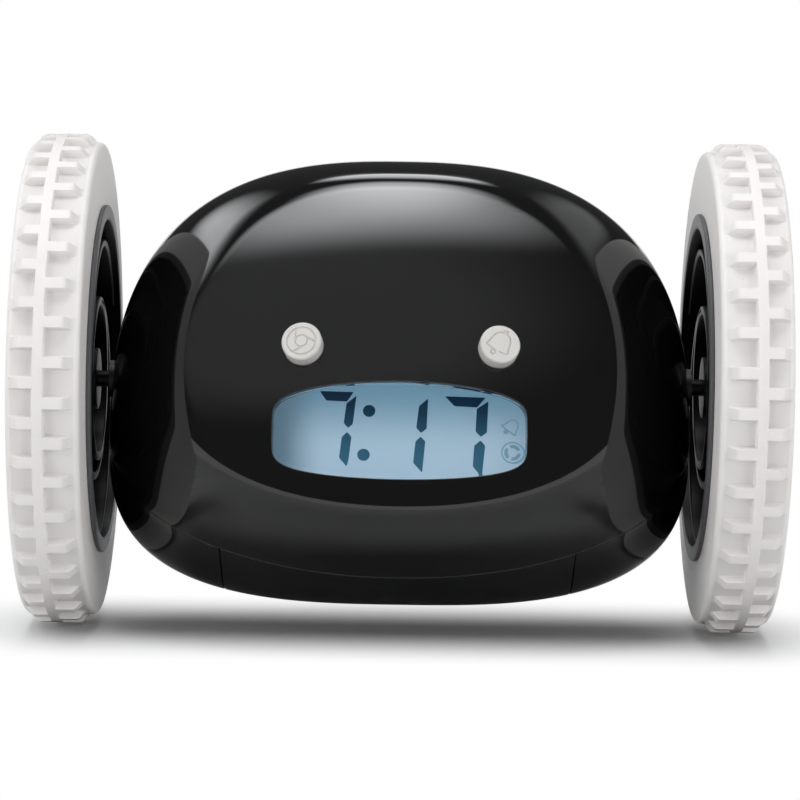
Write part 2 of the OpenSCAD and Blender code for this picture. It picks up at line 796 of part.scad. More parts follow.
module rear_shell() {
    color([0.016, 0.016, 0.018]) difference() {
        union() {
            body_slab(lats, rear_turns, 0, shell_wall,
                [7, 17, turn_steps - door_steps, turn_steps]);
            intersection() {
                body_core(0.5);
                union() {
                    seam_bosses(-1);
                    chassis_screw_places() translate([0, 0, -45])
                        cylinder(r = 2.4, h = 45 + chassis_top - chassis_thickness, $fn = 32);
                    translate([0, speaker_seat, -speaker_drop]) rotate([-90, 0, 0])
                        tube(speaker_radius + 1.2, speaker_radius - 0.8, 12, 64);
                    for (x = [-rear_post_x, rear_post_x])
                        translate([x, rear_board_face, set_rise]) rotate([-90, 0, 0])
                            cylinder(r = 1.8, h = 12, $fn = 32);
                }
            }
        }
        for (x = [-1, 1])
            for (y = [-seam_boss_y, seam_boss_y])
                on_seam(x * seam_boss_x, y) {
                    translate([0, 0, -9]) cylinder(r = 1.1, h = 10, $fn = 32);
                    translate([0, 0, -40]) cylinder(r = 2.3, h = 40 - screw_seat, $fn = 40);
                }
        chassis_screw_places() translate([0, 0, chassis_top - chassis_thickness - 6])
            cylinder(r = 0.8, h = 7, $fn = 32);
        for (k = [-1:1])
            translate([k * set_spacing, 30, set_rise]) rotate([-90, 0, 0])
                cylinder(r = set_diameter / 2 + 0.15, h = 12, $fn = 48);
        for (k = [-2:2])
            translate([0, 31, -speaker_drop + k * 3.6]) rotate([-90, 0, 0])
                linear_extrude(12) rounded(2 * sqrt(100 - pow(k * 3.6, 2)), 1.6, 0.75);
        for (x = [-rear_post_x, rear_post_x])
            translate([x, rear_board_face - 1, set_rise]) rotate([-90, 0, 0])
                cylinder(r = 0.7, h = 4.5, $fn = 24);
    }
}

module battery_door() {
    color([0.016, 0.016, 0.018]) difference() {
        body_slab(door_lats, door_turns, 0, door_wall, poles = false);
        translate([-15, -19.6, -39.4]) rotate([0, 90, 0]) cylinder(r = 2.6, h = 30, $fn = 48);
    }
}

module shell_screws() {
    color([0.3, 0.3, 0.31]) for (x = [-1, 1])
        for (y = [-seam_boss_y, seam_boss_y])
            on_seam(x * seam_boss_x, y) translate([0, 0, -screw_seat]) screw(10, 0.9, 1.9);
}

// ---------- display and face buttons ----------

module display_window() {
    color([0.7, 0.85, 0.95, 0.4]) on_face() {
        intersection() {
            translate([0, -window_drop, glass_front])
                linear_extrude(-glass_front) window_outline(-0.12);
            translate([0, 0, -face_radius]) sphere(r = face_radius - 0.5, $fn = 220);
        }
        intersection() {
            translate([0, -window_drop, glass_front])
                linear_extrude(-glass_front) window_outline(0.9);
            translate([0, 0, -face_radius]) sphere(r = face_radius - shell_wall - 1.9, $fn = 220);
        }
    }
}

module display_block(w, h, z0, z1) {
    on_face() translate([-w / 2, glass_lift - window_drop - h / 2, z0]) cube([w, h, z1 - z0]);
}

module display_glass() {
    color([0.55, 0.72, 0.85]) display_block(glass_width, glass_height,
        glass_front - glass_thickness, glass_front);
}

module backlight() {
    color([0.8, 0.9, 0.98]) display_block(glass_width, glass_height,
        glass_front - glass_thickness - 1.4, glass_front - glass_thickness);
}

module display_frame() {
    color([0.9, 0.9, 0.9]) difference() {
        display_block(glass_width + 2.4, glass_height + 2.4, -board_depth, glass_front - 1.4);
        display_block(glass_width, glass_height, glass_front - glass_thickness - 1.4, 0);
        display_block(glass_width - 4, glass_height - 4, -board_depth + 0.8, 0);
    }
}

module main_board() {
    color([0.05, 0.28, 0.14]) on_face() difference() {
        translate([0, board_middle, -board_depth - board_thickness])
            linear_extrude(board_thickness) rounded(board_width, board_height, 9);
        board_post_places() translate([0, 0, -board_depth - 3])
            cylinder(r = 1.1, h = 5, $fn = 32);
    }
}

module board_chips() {
    back = -board_depth - board_thickness;
    color([0.05, 0.05, 0.055]) on_face() {
        translate([-6, -4, back - 1.6]) cube([12, 12, 1.6]);
        translate([-20, -8, back - 1.4]) cube([7, 5, 1.4]);
        translate([14, -16, back - 1.4]) cube([5, 7, 1.4]);
        translate([13, 2, back - 4]) cylinder(r = 2.5, h = 4, $fn = 32);
    }
}

module board_screws() {
    color([0.6, 0.6, 0.62]) {
        on_face() board_post_places() translate([0, 0, -board_depth - board_thickness])
            screw(6, 0.9, 1.7);
        chassis_screw_places() translate([0, 0, chassis_top]) mirror([0, 0, 1])
            screw(7, 0.8, 1.7);
    }
}

module face_switches() {
    color([0.1, 0.1, 0.1]) on_face() for (side = [-1, 1])
        translate([side * switch_x, switch_y, -board_depth]) {
            translate([-2.5, -2.5, 0]) cube([5, 5, switch_top - 0.4]);
            cylinder(r = 1.6, h = switch_top, $fn = 32);
        }
}

module button_body() {
    radius = button_diameter / 2;
    dome = 0.7;
    difference() {
        union() {
            translate([0, 0, -shell_wall - 0.2])
                cylinder(r = radius, h = button_stand - dome + shell_wall + 0.2, $fn = 64);
            rotate_extrude($fn = 64) {
                translate([0, button_stand - dome]) square([radius - dome, dome]);
                translate([radius - dome, button_stand - dome]) intersection() {
                    circle(r = dome, $fn = 32);
                    square(dome);
                }
            }
            translate([0, 0, -shell_wall - 1.6])
                cylinder(r = radius + 0.9, h = 1.2, $fn = 64);
            translate([0, 0, -stem_reach]) cylinder(r = 1.5, h = stem_reach - 1, $fn = 40);
        }
        translate([0, 0, button_stand - 0.3]) children();
    }
}

module wheel_sign() {
    difference() {
        cylinder(r = 2.4, h = 1, $fn = 48);
        translate([0, 0, -1]) cylinder(r = 1.95, h = 3, $fn = 48);
    }
    difference() {
        cylinder(r = 0.85, h = 1, $fn = 32);
        translate([0, 0, -1]) cylinder(r = 0.45, h = 3, $fn = 32);
    }
    for (k = [0:4])
        rotate(k * 72) translate([0.7, -0.2, 0]) cube([1.4, 0.4, 1]);
}

module bell_sign() {
    line = 0.4;
    linear_extrude(1) rotate(20) {
        difference() {
            polygon(bell_points(1));
            polygon(bell_points(0.72));
        }
        translate([0, -1.85]) circle(r = 0.42, $fn = 24);
        translate([0, 2.1]) circle(r = line, $fn = 24);
    }
}

function bell_points(k) = [for (p = concat(
    [for (t = [0:15:90]) [1.05 * sin(t) + 0, 0.7 + 1.05 * cos(t)]],
    [for (t = [0:15:60]) [2.15 - 1.05 * cos(t), -0.25 - 1.05 * sin(t)]],
    [[2.1, -1.35], [-2.1, -1.35]],
    [for (t = [60:-15:0]) [-2.15 + 1.05 * cos(t), -0.25 - 1.05 * sin(t)]],
    [for (t = [90:-15:15]) [-1.05 * sin(t), 0.7 + 1.05 * cos(t)]]
)) [p[0] * k, p[1] * k - 0.05 * (1 - k)]];

module wheel_button() {
    color([0.93, 0.92, 0.89]) on_dome(-button_offset, button_rise) button_body() wheel_sign();
}

module alarm_button() {
    color([0.93, 0.92, 0.89]) on_dome(button_offset, button_rise) button_body() bell_sign();
}

// ---------- rear fittings ----------

module rear_board() {
    color([0.05, 0.28, 0.14]) difference() {
        translate([0, rear_board_face, set_rise]) rotate([90, 0, 0])
            linear_extrude(board_thickness) rounded(2 * rear_post_x + 6, 8, 1.5);
        for (x = [-rear_post_x, rear_post_x])
            translate([x, rear_board_face - 4, set_rise]) rotate([-90, 0, 0])
                cylinder(r = 0.9, h = 6, $fn = 24);
    }
}

module rear_switches() {
    color([0.1, 0.1, 0.1]) for (k = [-1:1])
        translate([k * set_spacing, rear_board_face, set_rise]) {
            translate([-2.3, 0, -2.3]) cube([4.6, 1.6, 4.6]);
            rotate([-90, 0, 0]) cylinder(r = 1.2, h = 2.7 - button_travel, $fn = 32);
        }
}

module set_button(k) {
    radius = set_diameter / 2;
    face = body_rear + 2.3;
    color([0.05, 0.05, 0.055]) translate([k * set_spacing, 0, set_rise]) rotate([-90, 0, 0]) {
        translate([0, 0, rear_board_face + 2.8])
            cylinder(r = radius, h = face - 0.5 - rear_board_face - 2.8, $fn = 48);
        translate([0, 0, face - 0.5]) cylinder(r1 = radius, r2 = radius - 0.5, h = 0.5, $fn = 48);
        translate([0, 0, rear_board_face + 2.8]) cylinder(r = radius + 0.6, h = 1, $fn = 48);
    }
}

module set_button_left() {
    set_button(-1);
}

module set_button_middle() {
    set_button(0);
}

module set_button_right() {
    set_button(1);
}

module speaker_frame() {
    color([0.35, 0.35, 0.37]) translate([0, speaker_seat, -speaker_drop]) rotate([90, 0, 0])
        rotate_extrude($fn = 72) {
            translate([speaker_radius - 2.2, 0]) square([2.2, 1.2]);
            polygon([[speaker_radius - 2.2, 0.4], [speaker_radius - 1.4, 1.2], [8, 3.4],
                [7, 3.4], [7, 2.7]]);
            translate([0, 2.9]) square([8, 0.9]);
            translate([0, 3.8]) square([7, 1.8]);
        }
}

module speaker_cone() {
    color([0.12, 0.12, 0.12]) translate([0, speaker_seat, -speaker_drop]) rotate([90, 0, 0])
        rotate_extrude($fn = 72)
        polygon([[0, 1.2], [3, 1.7], [speaker_radius - 2.4, -0.1], [speaker_radius - 1.2, -0.15],
            [speaker_radius - 1.2, -0.55], [speaker_radius - 2.6, -0.55], [3, 1.2], [0, 0.7]]);
}

// ---------- power ----------

module bay_walls() {
    depth = cell_drop + 0.8;
    for (side = [-1, 1])
        block(side * bay_end - (side > 0 ? 0 : 1.4), side * bay_end + (side > 0 ? 1.4 : 0),
            -2 * cell_diameter - 0.9, 2 * cell_diameter + 0.9, -depth, chassis_top - 1);
    for (side = [-1, 1])
        for (x = [-12, 0, 12])
            block(x - 0.8, x + 0.8, side > 0 ? 2 * cell_diameter + 0.2 : -2 * cell_diameter - 2,
                side > 0 ? 2 * cell_diameter + 2 : -2 * cell_diameter - 0.2,
                -cell_drop - 1, chassis_top - 1);
}

module cell_at(k) {
    translate([-cell_length / 2, (k - 2.5) * cell_pitch, -cell_drop]) rotate([0, 90, 0])
        children();
}

module chassis() {
    color([0.1, 0.1, 0.11]) difference() {
        union() {
            translate([0, 0, chassis_top - chassis_thickness])
                linear_extrude(chassis_thickness) rounded(78, 4 * cell_diameter + 4.4, 9);
            bay_walls();
            for (x = [-9, 6])
                block(x, x + 3, motor_axis[0] - 5, motor_axis[0] + 5, chassis_top - 0.5,
                    motor_axis[1] - motor_flats / 2);
            for (k = [1:3])
                block(-18, 18, (k - 2) * cell_pitch - 0.6, (k - 2) * cell_pitch + 0.6,
                    -cell_drop + 3.4, chassis_top - 1);
        }
        for (k = [1:4])
            cell_at(k) translate([0, 0, -0.4])
                cylinder(r = cell_diameter / 2 + 0.1, h = cell_length + 0.8, $fn = 64);
        for (x = [-foot_x, foot_x])
            for (y = foot_ys)
                translate([x, y, chassis_top - 5]) cylinder(r = 1.1, h = 8, $fn = 32);
        chassis_screw_places() translate([0, 0, chassis_top - 5])
            cylinder(r = 1, h = 8, $fn = 32);
    }
}

module cell(k) {
    flip = k % 2;
    cell_at(k) translate([0, 0, flip * cell_length]) mirror([0, 0, flip]) {
        color([0.2, 0.22, 0.24]) cylinder(r = cell_diameter / 2, h = cell_length - 0.8, $fn = 64);
        color([0.8, 0.8, 0.8]) cylinder(r = 1.9, h = cell_length, $fn = 32);
    }
}

module cell_1() {
    cell(1);
}

module cell_2() {
    cell(2);
}

module cell_3() {
    cell(3);
}

module cell_4() {
    cell(4);
}

// A spiral contact spring stands on the flat end of each cell
module cell_springs() {
    color([0.8, 0.8, 0.78]) for (k = [1:4])
        cell_at(k) translate([0, 0, k % 2 == 1 ? cell_length : 0])
            mirror([0, 0, k % 2 == 1 ? 0 : 1]) rotate_extrude($fn = 48)
            for (ring = [0:3])
                translate([3.4 - ring * 0.5, 0.42 + ring * 0.33]) circle(r = 0.36, $fn = 16);
}

module cell_plates() {
    color([0.78, 0.78, 0.76]) for (k = [1:4])
        cell_at(k) {
            translate([-3, -3, cell_length / 2 - bay_end]) cube([6, 6, 0.4]);
            translate([-3, -3, cell_length / 2 + bay_end - 0.4]) cube([6, 6, 0.4]);
        }
}

// ---------- wires ----------

module wire(points) {
    r = 0.5;
    for (k = [0:len(points) - 2]) {
        d = points[k + 1] - points[k];
        translate(points[k]) rotate([0, acos(d[2] / norm(d)), atan2(d[1], d[0])])
            cylinder(r = r, h = norm(d), $fn = 16);
    }
    for (k = [1:len(points) - 2])
        translate(points[k]) sphere(r = r + 0.08, $fn = 16);
}

// A place on the back of the main board, or deeper behind it
function behind_board(x, y, gap) =
    let(z = -board_depth - board_thickness - gap)
    [x, y * sin(face_tilt) - z * cos(face_tilt) - face_front,
        y * cos(face_tilt) + z * sin(face_tilt) + face_rise];

module lead_wires() {
    color([0.6, 0.08, 0.07]) {
        for (side = [-1, 1])
            wire([behind_board(side * 11, -10, 0.1), behind_board(side * 11, -10, 3.5),
                [side * 10, -15, -12], [side * 6, -6, -3], [side * 4, -2, motor_axis[1]],
                [side * 4, motor_axis[0] - motor_radius - 0.1, motor_axis[1]]]);
        wire([behind_board(-23, -12, 0.1), behind_board(-23, -12, 3.5), [-20, -8, -17],
            [-19, 14, -17], [-10, 20.5, -17], [-5, 21, -speaker_drop],
            [-5, speaker_seat - 5.75, -speaker_drop]]);
        wire([behind_board(23, -12, 0.1), behind_board(23, -12, 3.5), [21, -8, -17],
            [20, 18, -17], [17, 24, -3], [15, 25.5, 4],
            [15, rear_board_face - board_thickness - 0.12, 4]]);
    }
}

// ---------- assembly ----------

module tyre_right() {
    tyre();
}

module tyre_left() {
    mirrored() tyre();
}

module rim_right() {
    rim();
}

module rim_left() {
    mirrored() rim();
}

module hub_cap_right() {
    hub_cap();
}

module hub_cap_left() {
    mirrored() hub_cap();
}

module wheel_shaft_right() {
    wheel_shaft();
}

module wheel_shaft_left() {
    mirrored() wheel_shaft();
}

module shaft_bush_right() {
    shaft_bush();
}

module shaft_bush_left() {
    mirrored() shaft_bush();
}

module output_gear_right() {
    output_gear();
}

module output_gear_left() {
    mirrored() output_gear();
}

module second_gear_right() {
    second_gear();
}

module second_gear_left() {
    mirrored() second_gear();
}

module first_gear_right() {
    first_gear();
}

module first_gear_left() {
    mirrored() first_gear();
}

module motor_pinion_right() {
    motor_pinion();
}

module motor_pinion_left() {
    mirrored() motor_pinion();
}

module motor_shaft_right() {
    motor_shaft();
}

module motor_shaft_left() {
    mirrored() motor_shaft();
}

module motor_can_right() {
    motor_can();
}

module motor_can_left() {
    mirrored() motor_can();
}

module motor_cap_right() {
    motor_cap();
}

module motor_cap_left() {
    mirrored() motor_cap();
}

module gear_case_right() {
    gear_case();
}

module gear_case_left() {
    mirrored() gear_case();
}

module gear_lid_right() {
    gear_lid();
}

module gear_lid_left() {
    mirrored() gear_lid();
}

at_axle() tyre_right();
at_axle() tyre_left();
at_axle() rim_right();
at_axle() rim_left();
at_axle() hub_cap_right();
at_axle() hub_cap_left();
at_axle() wheel_shaft_right();
at_axle() wheel_shaft_left();
at_axle() shaft_bush_right();
at_axle() shaft_bush_left();
at_axle() output_gear_right();
at_axle() output_gear_left();
at_axle() second_gear_right();
at_axle() second_gear_left();
at_axle() first_gear_right();
at_axle() first_gear_left();
at_axle() motor_pinion_right();
at_axle() motor_pinion_left();
at_axle() motor_shaft_right();
at_axle() motor_shaft_left();
at_axle() motor_can_right();
at_axle() motor_can_left();
at_axle() motor_cap_right();
at_axle() motor_cap_left();
at_axle() gear_case_right();
at_axle() gear_case_left();
at_axle() gear_lid_right();
at_axle() gear_lid_left();
at_axle() gear_pins();
at_axle() gear_screws();
at_axle() front_shell();
at_axle() rear_shell();
at_axle() battery_door();
at_axle() shell_screws();
at_axle() display_window();
at_axle() display_glass();
at_axle() backlight();
at_axle() display_frame();
at_axle() main_board();
at_axle() board_chips();
at_axle() board_screws();
at_axle() face_switches();
at_axle() wheel_button();
at_axle() alarm_button();
at_axle() rear_board();
at_axle() rear_switches();
at_axle() set_button_left();
at_axle() set_button_middle();
at_axle() set_button_right();
at_axle() speaker_frame();
at_axle() speaker_cone();
at_axle() chassis();
at_axle() cell_1();
at_axle() cell_2();
at_axle() cell_3();
at_axle() cell_4();
at_axle() cell_springs();
at_axle() cell_plates();
at_axle() lead_wires();
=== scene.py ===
import math

import bmesh
import bpy
import numpy as np
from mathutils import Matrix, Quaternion, Vector


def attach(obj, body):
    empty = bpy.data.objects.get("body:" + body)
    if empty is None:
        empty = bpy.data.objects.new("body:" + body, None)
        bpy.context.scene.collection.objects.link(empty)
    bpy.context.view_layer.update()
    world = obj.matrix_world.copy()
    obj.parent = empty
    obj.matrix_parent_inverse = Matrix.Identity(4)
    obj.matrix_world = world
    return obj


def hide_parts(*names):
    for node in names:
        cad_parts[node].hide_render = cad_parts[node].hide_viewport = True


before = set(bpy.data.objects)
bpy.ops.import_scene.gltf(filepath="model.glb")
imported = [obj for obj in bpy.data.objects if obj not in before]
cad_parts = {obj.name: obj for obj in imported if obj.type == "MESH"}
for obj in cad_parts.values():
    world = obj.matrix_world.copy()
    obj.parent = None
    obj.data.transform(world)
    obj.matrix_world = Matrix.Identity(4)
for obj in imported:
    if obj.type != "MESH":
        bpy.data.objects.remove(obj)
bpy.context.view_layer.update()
axleHeight = 44.5  # every shape below is in millimetres from the middle of the axle
toMetres = 0.001
farOff = 40.0  # what an outline gives for points that it doesn't concern
pieces = {}
print("frame loaded:", len(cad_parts), "nodes")


def ease(low, high, value):
    # soft step from 0 at low to 1 at high
    t = np.clip((value - low) / (high - low), 0, 1)
    return t * t * (3 - 2 * t)


def unit(vectors):
    # each vector over its own length
    return vectors / np.maximum(np.linalg.norm(vectors, axis=-1, keepdims=True), 1e-12)


def gridFaces(rows, columns, closeRows=False, closeColumns=False):
    # four-sided faces of a grid of points, which may close on itself
    i, j = np.meshgrid(np.arange(rows if closeRows else rows - 1),
                       np.arange(columns if closeColumns else columns - 1), indexing="ij")
    nextI, nextJ = (i + 1) % rows, (j + 1) % columns
    return np.stack([i * columns + j, nextI * columns + j,
                     nextI * columns + nextJ, i * columns + nextJ], -1).reshape(-1, 4)


def sheet(points, closeRows=False, closeColumns=False):
    return points.reshape(-1, 3), gridFaces(*points.shape[:2], closeRows, closeColumns)


def softened(profile, radius, steps=4):
    # every corner of a closed outline is swapped for a short curve from one side to the next
    before, after = np.roll(profile, 1, 0) - profile, np.roll(profile, -1, 0) - profile
    reach = np.minimum(np.linalg.norm(before, axis=1), np.linalg.norm(after, axis=1)) * 0.45
    reach = np.minimum(reach, radius)[:, None]
    start, end = profile + unit(before) * reach, profile + unit(after) * reach
    t = np.linspace(0, 1, steps)[None, :, None]
    curve = (1 - t) ** 2 * start[:, None] + 2 * t * (1 - t) * profile[:, None]
    return (curve + t ** 2 * end[:, None]).reshape(-1, 2)


def fullTurn(steps):
    return np.linspace(0, 2 * math.pi, steps, endpoint=False)


def aboutAxle(x, radius, angle):
    # points from places along the axle, distances from it and angles round it
    return np.stack(np.broadcast_arrays(x, radius * np.cos(angle), radius * np.sin(angle)), -1)


def turned(profile, steps=144):
    # an outline of [place along the axle, radius] turned round the axle
    return sheet(aboutAxle(profile[:, :1], profile[:, 1:], fullTurn(steps)), True, True)


def mirroredParts(parts):
    return [(points * [-1, 1, 1], faces[:, ::-1]) for points, faces in parts]


def newObject(name, data):
    thing = bpy.data.objects.new(name, data)
    bpy.context.scene.collection.objects.link(thing)
    return thing


def smoothObject(name, points, faces):
    mesh = bpy.data.meshes.new(name)
    mesh.from_pydata(points.tolist(), [], faces)
    mesh.polygons.foreach_set("use_smooth", np.ones(len(mesh.polygons), bool))
    return newObject(name, mesh)


meshForm = {"merge": 2e-6, "sharp": 0.7}  # metres, and the angle past which an edge shows


def makePiece(name, parts, body, replaced=(), normals=None, marks=None):
    # joins grids into one mesh in metres, closes poles and seams, and lets it ride on a body
    start = np.cumsum([0] + [len(points) for points, faces in parts])
    points = np.vstack([points for points, faces in parts]) + [0, 0, axleHeight]
    faces = [row for k, part in enumerate(parts) for row in (part[1] + start[k]).tolist()]
    piece = smoothObject(name, points * toMetres, faces)
    mesh = piece.data
    for key, values in (marks or {}).items():
        mark = mesh.attributes.new(key, "FLOAT", "POINT")
        mark.data.foreach_set("value", values.astype(np.float32))
    if normals is None:
        work = bmesh.new()
        work.from_mesh(mesh)
        bmesh.ops.remove_doubles(work, verts=work.verts, dist=meshForm["merge"])
        bmesh.ops.recalc_face_normals(work, faces=work.faces)
        for edge in work.edges:
            edge.smooth = edge.is_boundary or edge.calc_face_angle(0) < meshForm["sharp"]
        work.to_mesh(mesh)
        work.free()
    else:
        mesh.normals_split_custom_set_from_vertices(normals.tolist())
    mesh.update()
    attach(piece, body)
    if replaced:
        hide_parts(*replaced)
    pieces[name] = piece
    print("made", name, len(mesh.polygons))


# The body's two shells and its battery door: sizes, and angles in degrees seen from the side
bodyForm = {
    "halfWidth": 53.0, "front": 45.4, "rear": 37.0, "crown": 50.6, "belly": 30.6,
    "drop": 10.0, "lean": 10.0, "sidePower": 2.2, "browPower": 2.005,
    "crownPower": 2.62, "bellyPower": 2.95, "frontPower": 2.05, "frontSpread": 0.7,
    "faceRadius": 125.0, "faceTilt": 24.0, "faceFront": 35.2, "faceRise": 4.0, "crease": 1.1,
    "seam": 35.0, "wall": 2.2, "edge": 0.18, "gap": 0.08,
    "doorHalfWidth": 31.5, "doorReach": 82.0, "doorGap": 0.15,
}
tilt = math.radians(bodyForm["faceTilt"])
faceMiddle = np.array([0, -bodyForm["faceFront"], bodyForm["faceRise"]])
faceUp = np.array([0, math.sin(tilt), math.cos(tilt)])
faceOut = np.array([0, -math.cos(tilt), math.sin(tilt)])


def bodyReach(x, turn):
    # Reach from the middle of the body in the direction turn. Seen from the side the body is
    # a superellipse that leans back, rounder over the brow; towards the sides it shrinks by a
    # second power, which passes from the belly's to the crown's and is smaller at the front.
    # The domed face panel is a sphere, and the nearer of the two counts, with a soft minimum
    # where they meet.
    form = bodyForm
    lean = turn - math.radians(form["lean"])
    ahead, above = np.cos(lean), np.sin(lean)
    depth = np.where(ahead > 0, form["front"], form["rear"])
    rise = np.where(above > 0, form["crown"], form["belly"])
    side = np.where((ahead > 0) & (above > 0), form["browPower"], form["sidePower"])
    section = ((np.abs(ahead) / depth) ** side + (np.abs(above) / rise) ** side) ** (1 / side)
    middle = form["bellyPower"] + (form["crownPower"] - form["bellyPower"]) * ease(-1, 1, above)
    power = middle + (form["frontPower"] - middle) * ease(0, form["frontSpread"], ahead)
    hull = np.maximum(0, 1 - (np.abs(x) / form["halfWidth"]) ** power) ** (1 / power) / section
    back = form["faceRadius"] * math.cos(tilt) - form["faceFront"]
    up = form["faceRise"] - form["faceRadius"] * math.sin(tilt) + form["drop"]
    along = up * np.sin(turn) - back * np.cos(turn)
    dome = along + np.sqrt(np.maximum(0, along ** 2 - back ** 2 - up ** 2 - x ** 2
                                      + form["faceRadius"] ** 2))
    near = np.maximum(form["crease"] - np.abs(hull - dome), 0) / form["crease"]
    return np.minimum(hull, dome) - near ** 2 * form["crease"] / 4


def bodyPoint(lat, turn):
    # x is the half width times the sine of lat; the rest lies at the reach in the direction turn
    x = bodyForm["halfWidth"] * np.sin(lat)
    reach = bodyReach(x, turn)
    return np.stack([x, -reach * np.cos(turn), reach * np.sin(turn) - bodyForm["drop"]], -1)


def bodyNormal(lat, turn):
    # across two short steps of the surface
    lat = np.clip(lat, -math.radians(89.6), math.radians(89.6))
    step = 1e-4
    alongLat = bodyPoint(lat + step, turn) - bodyPoint(lat - step, turn)
    alongTurn = bodyPoint(lat, turn + step) - bodyPoint(lat, turn - step)
    return unit(np.cross(alongLat, alongTurn))


def aroundBody(points):
    # the direction and the distance of points from the line through the body's middle
    up = points[..., 2] + bodyForm["drop"]
    return np.arctan2(up, -points[..., 1]), np.hypot(points[..., 1], up)


def depthInBody(points):
    # how far a point lies under the body's surface, along the line from its middle
    turn, reach = aroundBody(points)
    return bodyReach(points[..., 0], turn) - reach


def onFace(x, y, z):
    # from places on the face panel to places from the axle
    x, y, z = (part[..., None] for part in np.broadcast_arrays(x, y, z))
    return faceMiddle + x * [1, 0, 0] + y * faceUp + z * faceOut


def fromFace(points):
    local = points - faceMiddle
    return points[..., 0], local @ faceUp, local @ faceOut


def cutSkin(lat, turn, outlines):
    # A grid of the body's surface with holes. An outline is a function of points, in
    # millimetres, above 0 where the shell stays. Where a grid line crosses an outline, the
    # nearer vertex is moved along the line onto it, found by halving the step.
    def margin(u, v):
        points = bodyPoint(u, v)
        return np.min([outline(points) for outline in outlines] or [np.ones(u.shape)], 0)
    side = margin(lat, turn)
    best = np.full(lat.shape, 0.5001)
    newLat, newTurn = lat.copy(), turn.copy()
    for shift in ((1, 0), (-1, 0), (0, 1), (0, -1)):
        here = tuple(slice(max(0, -s), n - max(0, s)) for s, n in zip(shift, lat.shape))
        there = tuple(slice(max(0, s), n - max(0, -s)) for s, n in zip(shift, lat.shape))
        crossing = side[here] * side[there] < 0
        u0, v0, s0 = lat[here][crossing], turn[here][crossing], side[here][crossing]
        u1, v1 = lat[there][crossing], turn[there][crossing]
        low, high = np.zeros(len(u0)), np.ones(len(u0))
        for halving in range(22):
            middle = (low + high) / 2
            same = margin(u0 + (u1 - u0) * middle, v0 + (v1 - v0) * middle) * s0 > 0
            low, high = np.where(same, middle, low), np.where(same, high, middle)
        closer = low < best[here][crossing]
        for target, values in ((newLat, u0 + (u1 - u0) * low), (newTurn, v0 + (v1 - v0) * low),
                               (best, low)):
            target[here][crossing] = np.where(closer, values, target[here][crossing])
    side = np.sign(np.where(best < 0.5, 0, side))
    corners, flat = gridFaces(*lat.shape), side.reshape(-1)
    turnOver = flat[corners[:, 0]] * flat[corners[:, 2]] < 0
    corners[turnOver] = np.roll(corners[turnOver], -1, 1)
    triangles = np.vstack([corners[:, [0, 1, 2]], corners[:, [0, 2, 3]]])
    state = flat[triangles]
    middle = margin(*(grid.reshape(-1)[triangles].mean(1) for grid in (newLat, newTurn)))
    keep = (state.min(1) >= 0) & ((state.max(1) > 0) | (middle > 0))
    return newLat, newTurn, triangles[keep]


skinForm = {"across": 191, "around": 201, "cells": 2000, "sharpest": 0.6}


def mergedSkin(points, normals, triangles):
    # Points in the same cell, some two thousand to a millimetre, become one. Faces of no area
    # and points without a face go, and every face points the way of its normals.
    cells = np.round(points * skinForm["cells"]).astype(np.int64)
    first, back = np.unique(cells, axis=0, return_index=True, return_inverse=True)[1:]
    triangles = back.reshape(-1)[triangles]
    points, normals = points[first], normals[first]
    triangles = triangles[(triangles != np.roll(triangles, 1, 1)).all(1)]
    a, b, c = (points[triangles[:, k]] for k in range(3))
    wrong = np.einsum("ij,ij->i", np.cross(b - a, c - a), normals[triangles].sum(1)) < 0
    triangles[wrong] = triangles[wrong][:, ::-1]
    used, back = np.unique(triangles, return_inverse=True)
    return points[used], normals[used], back.reshape(-1, 3)


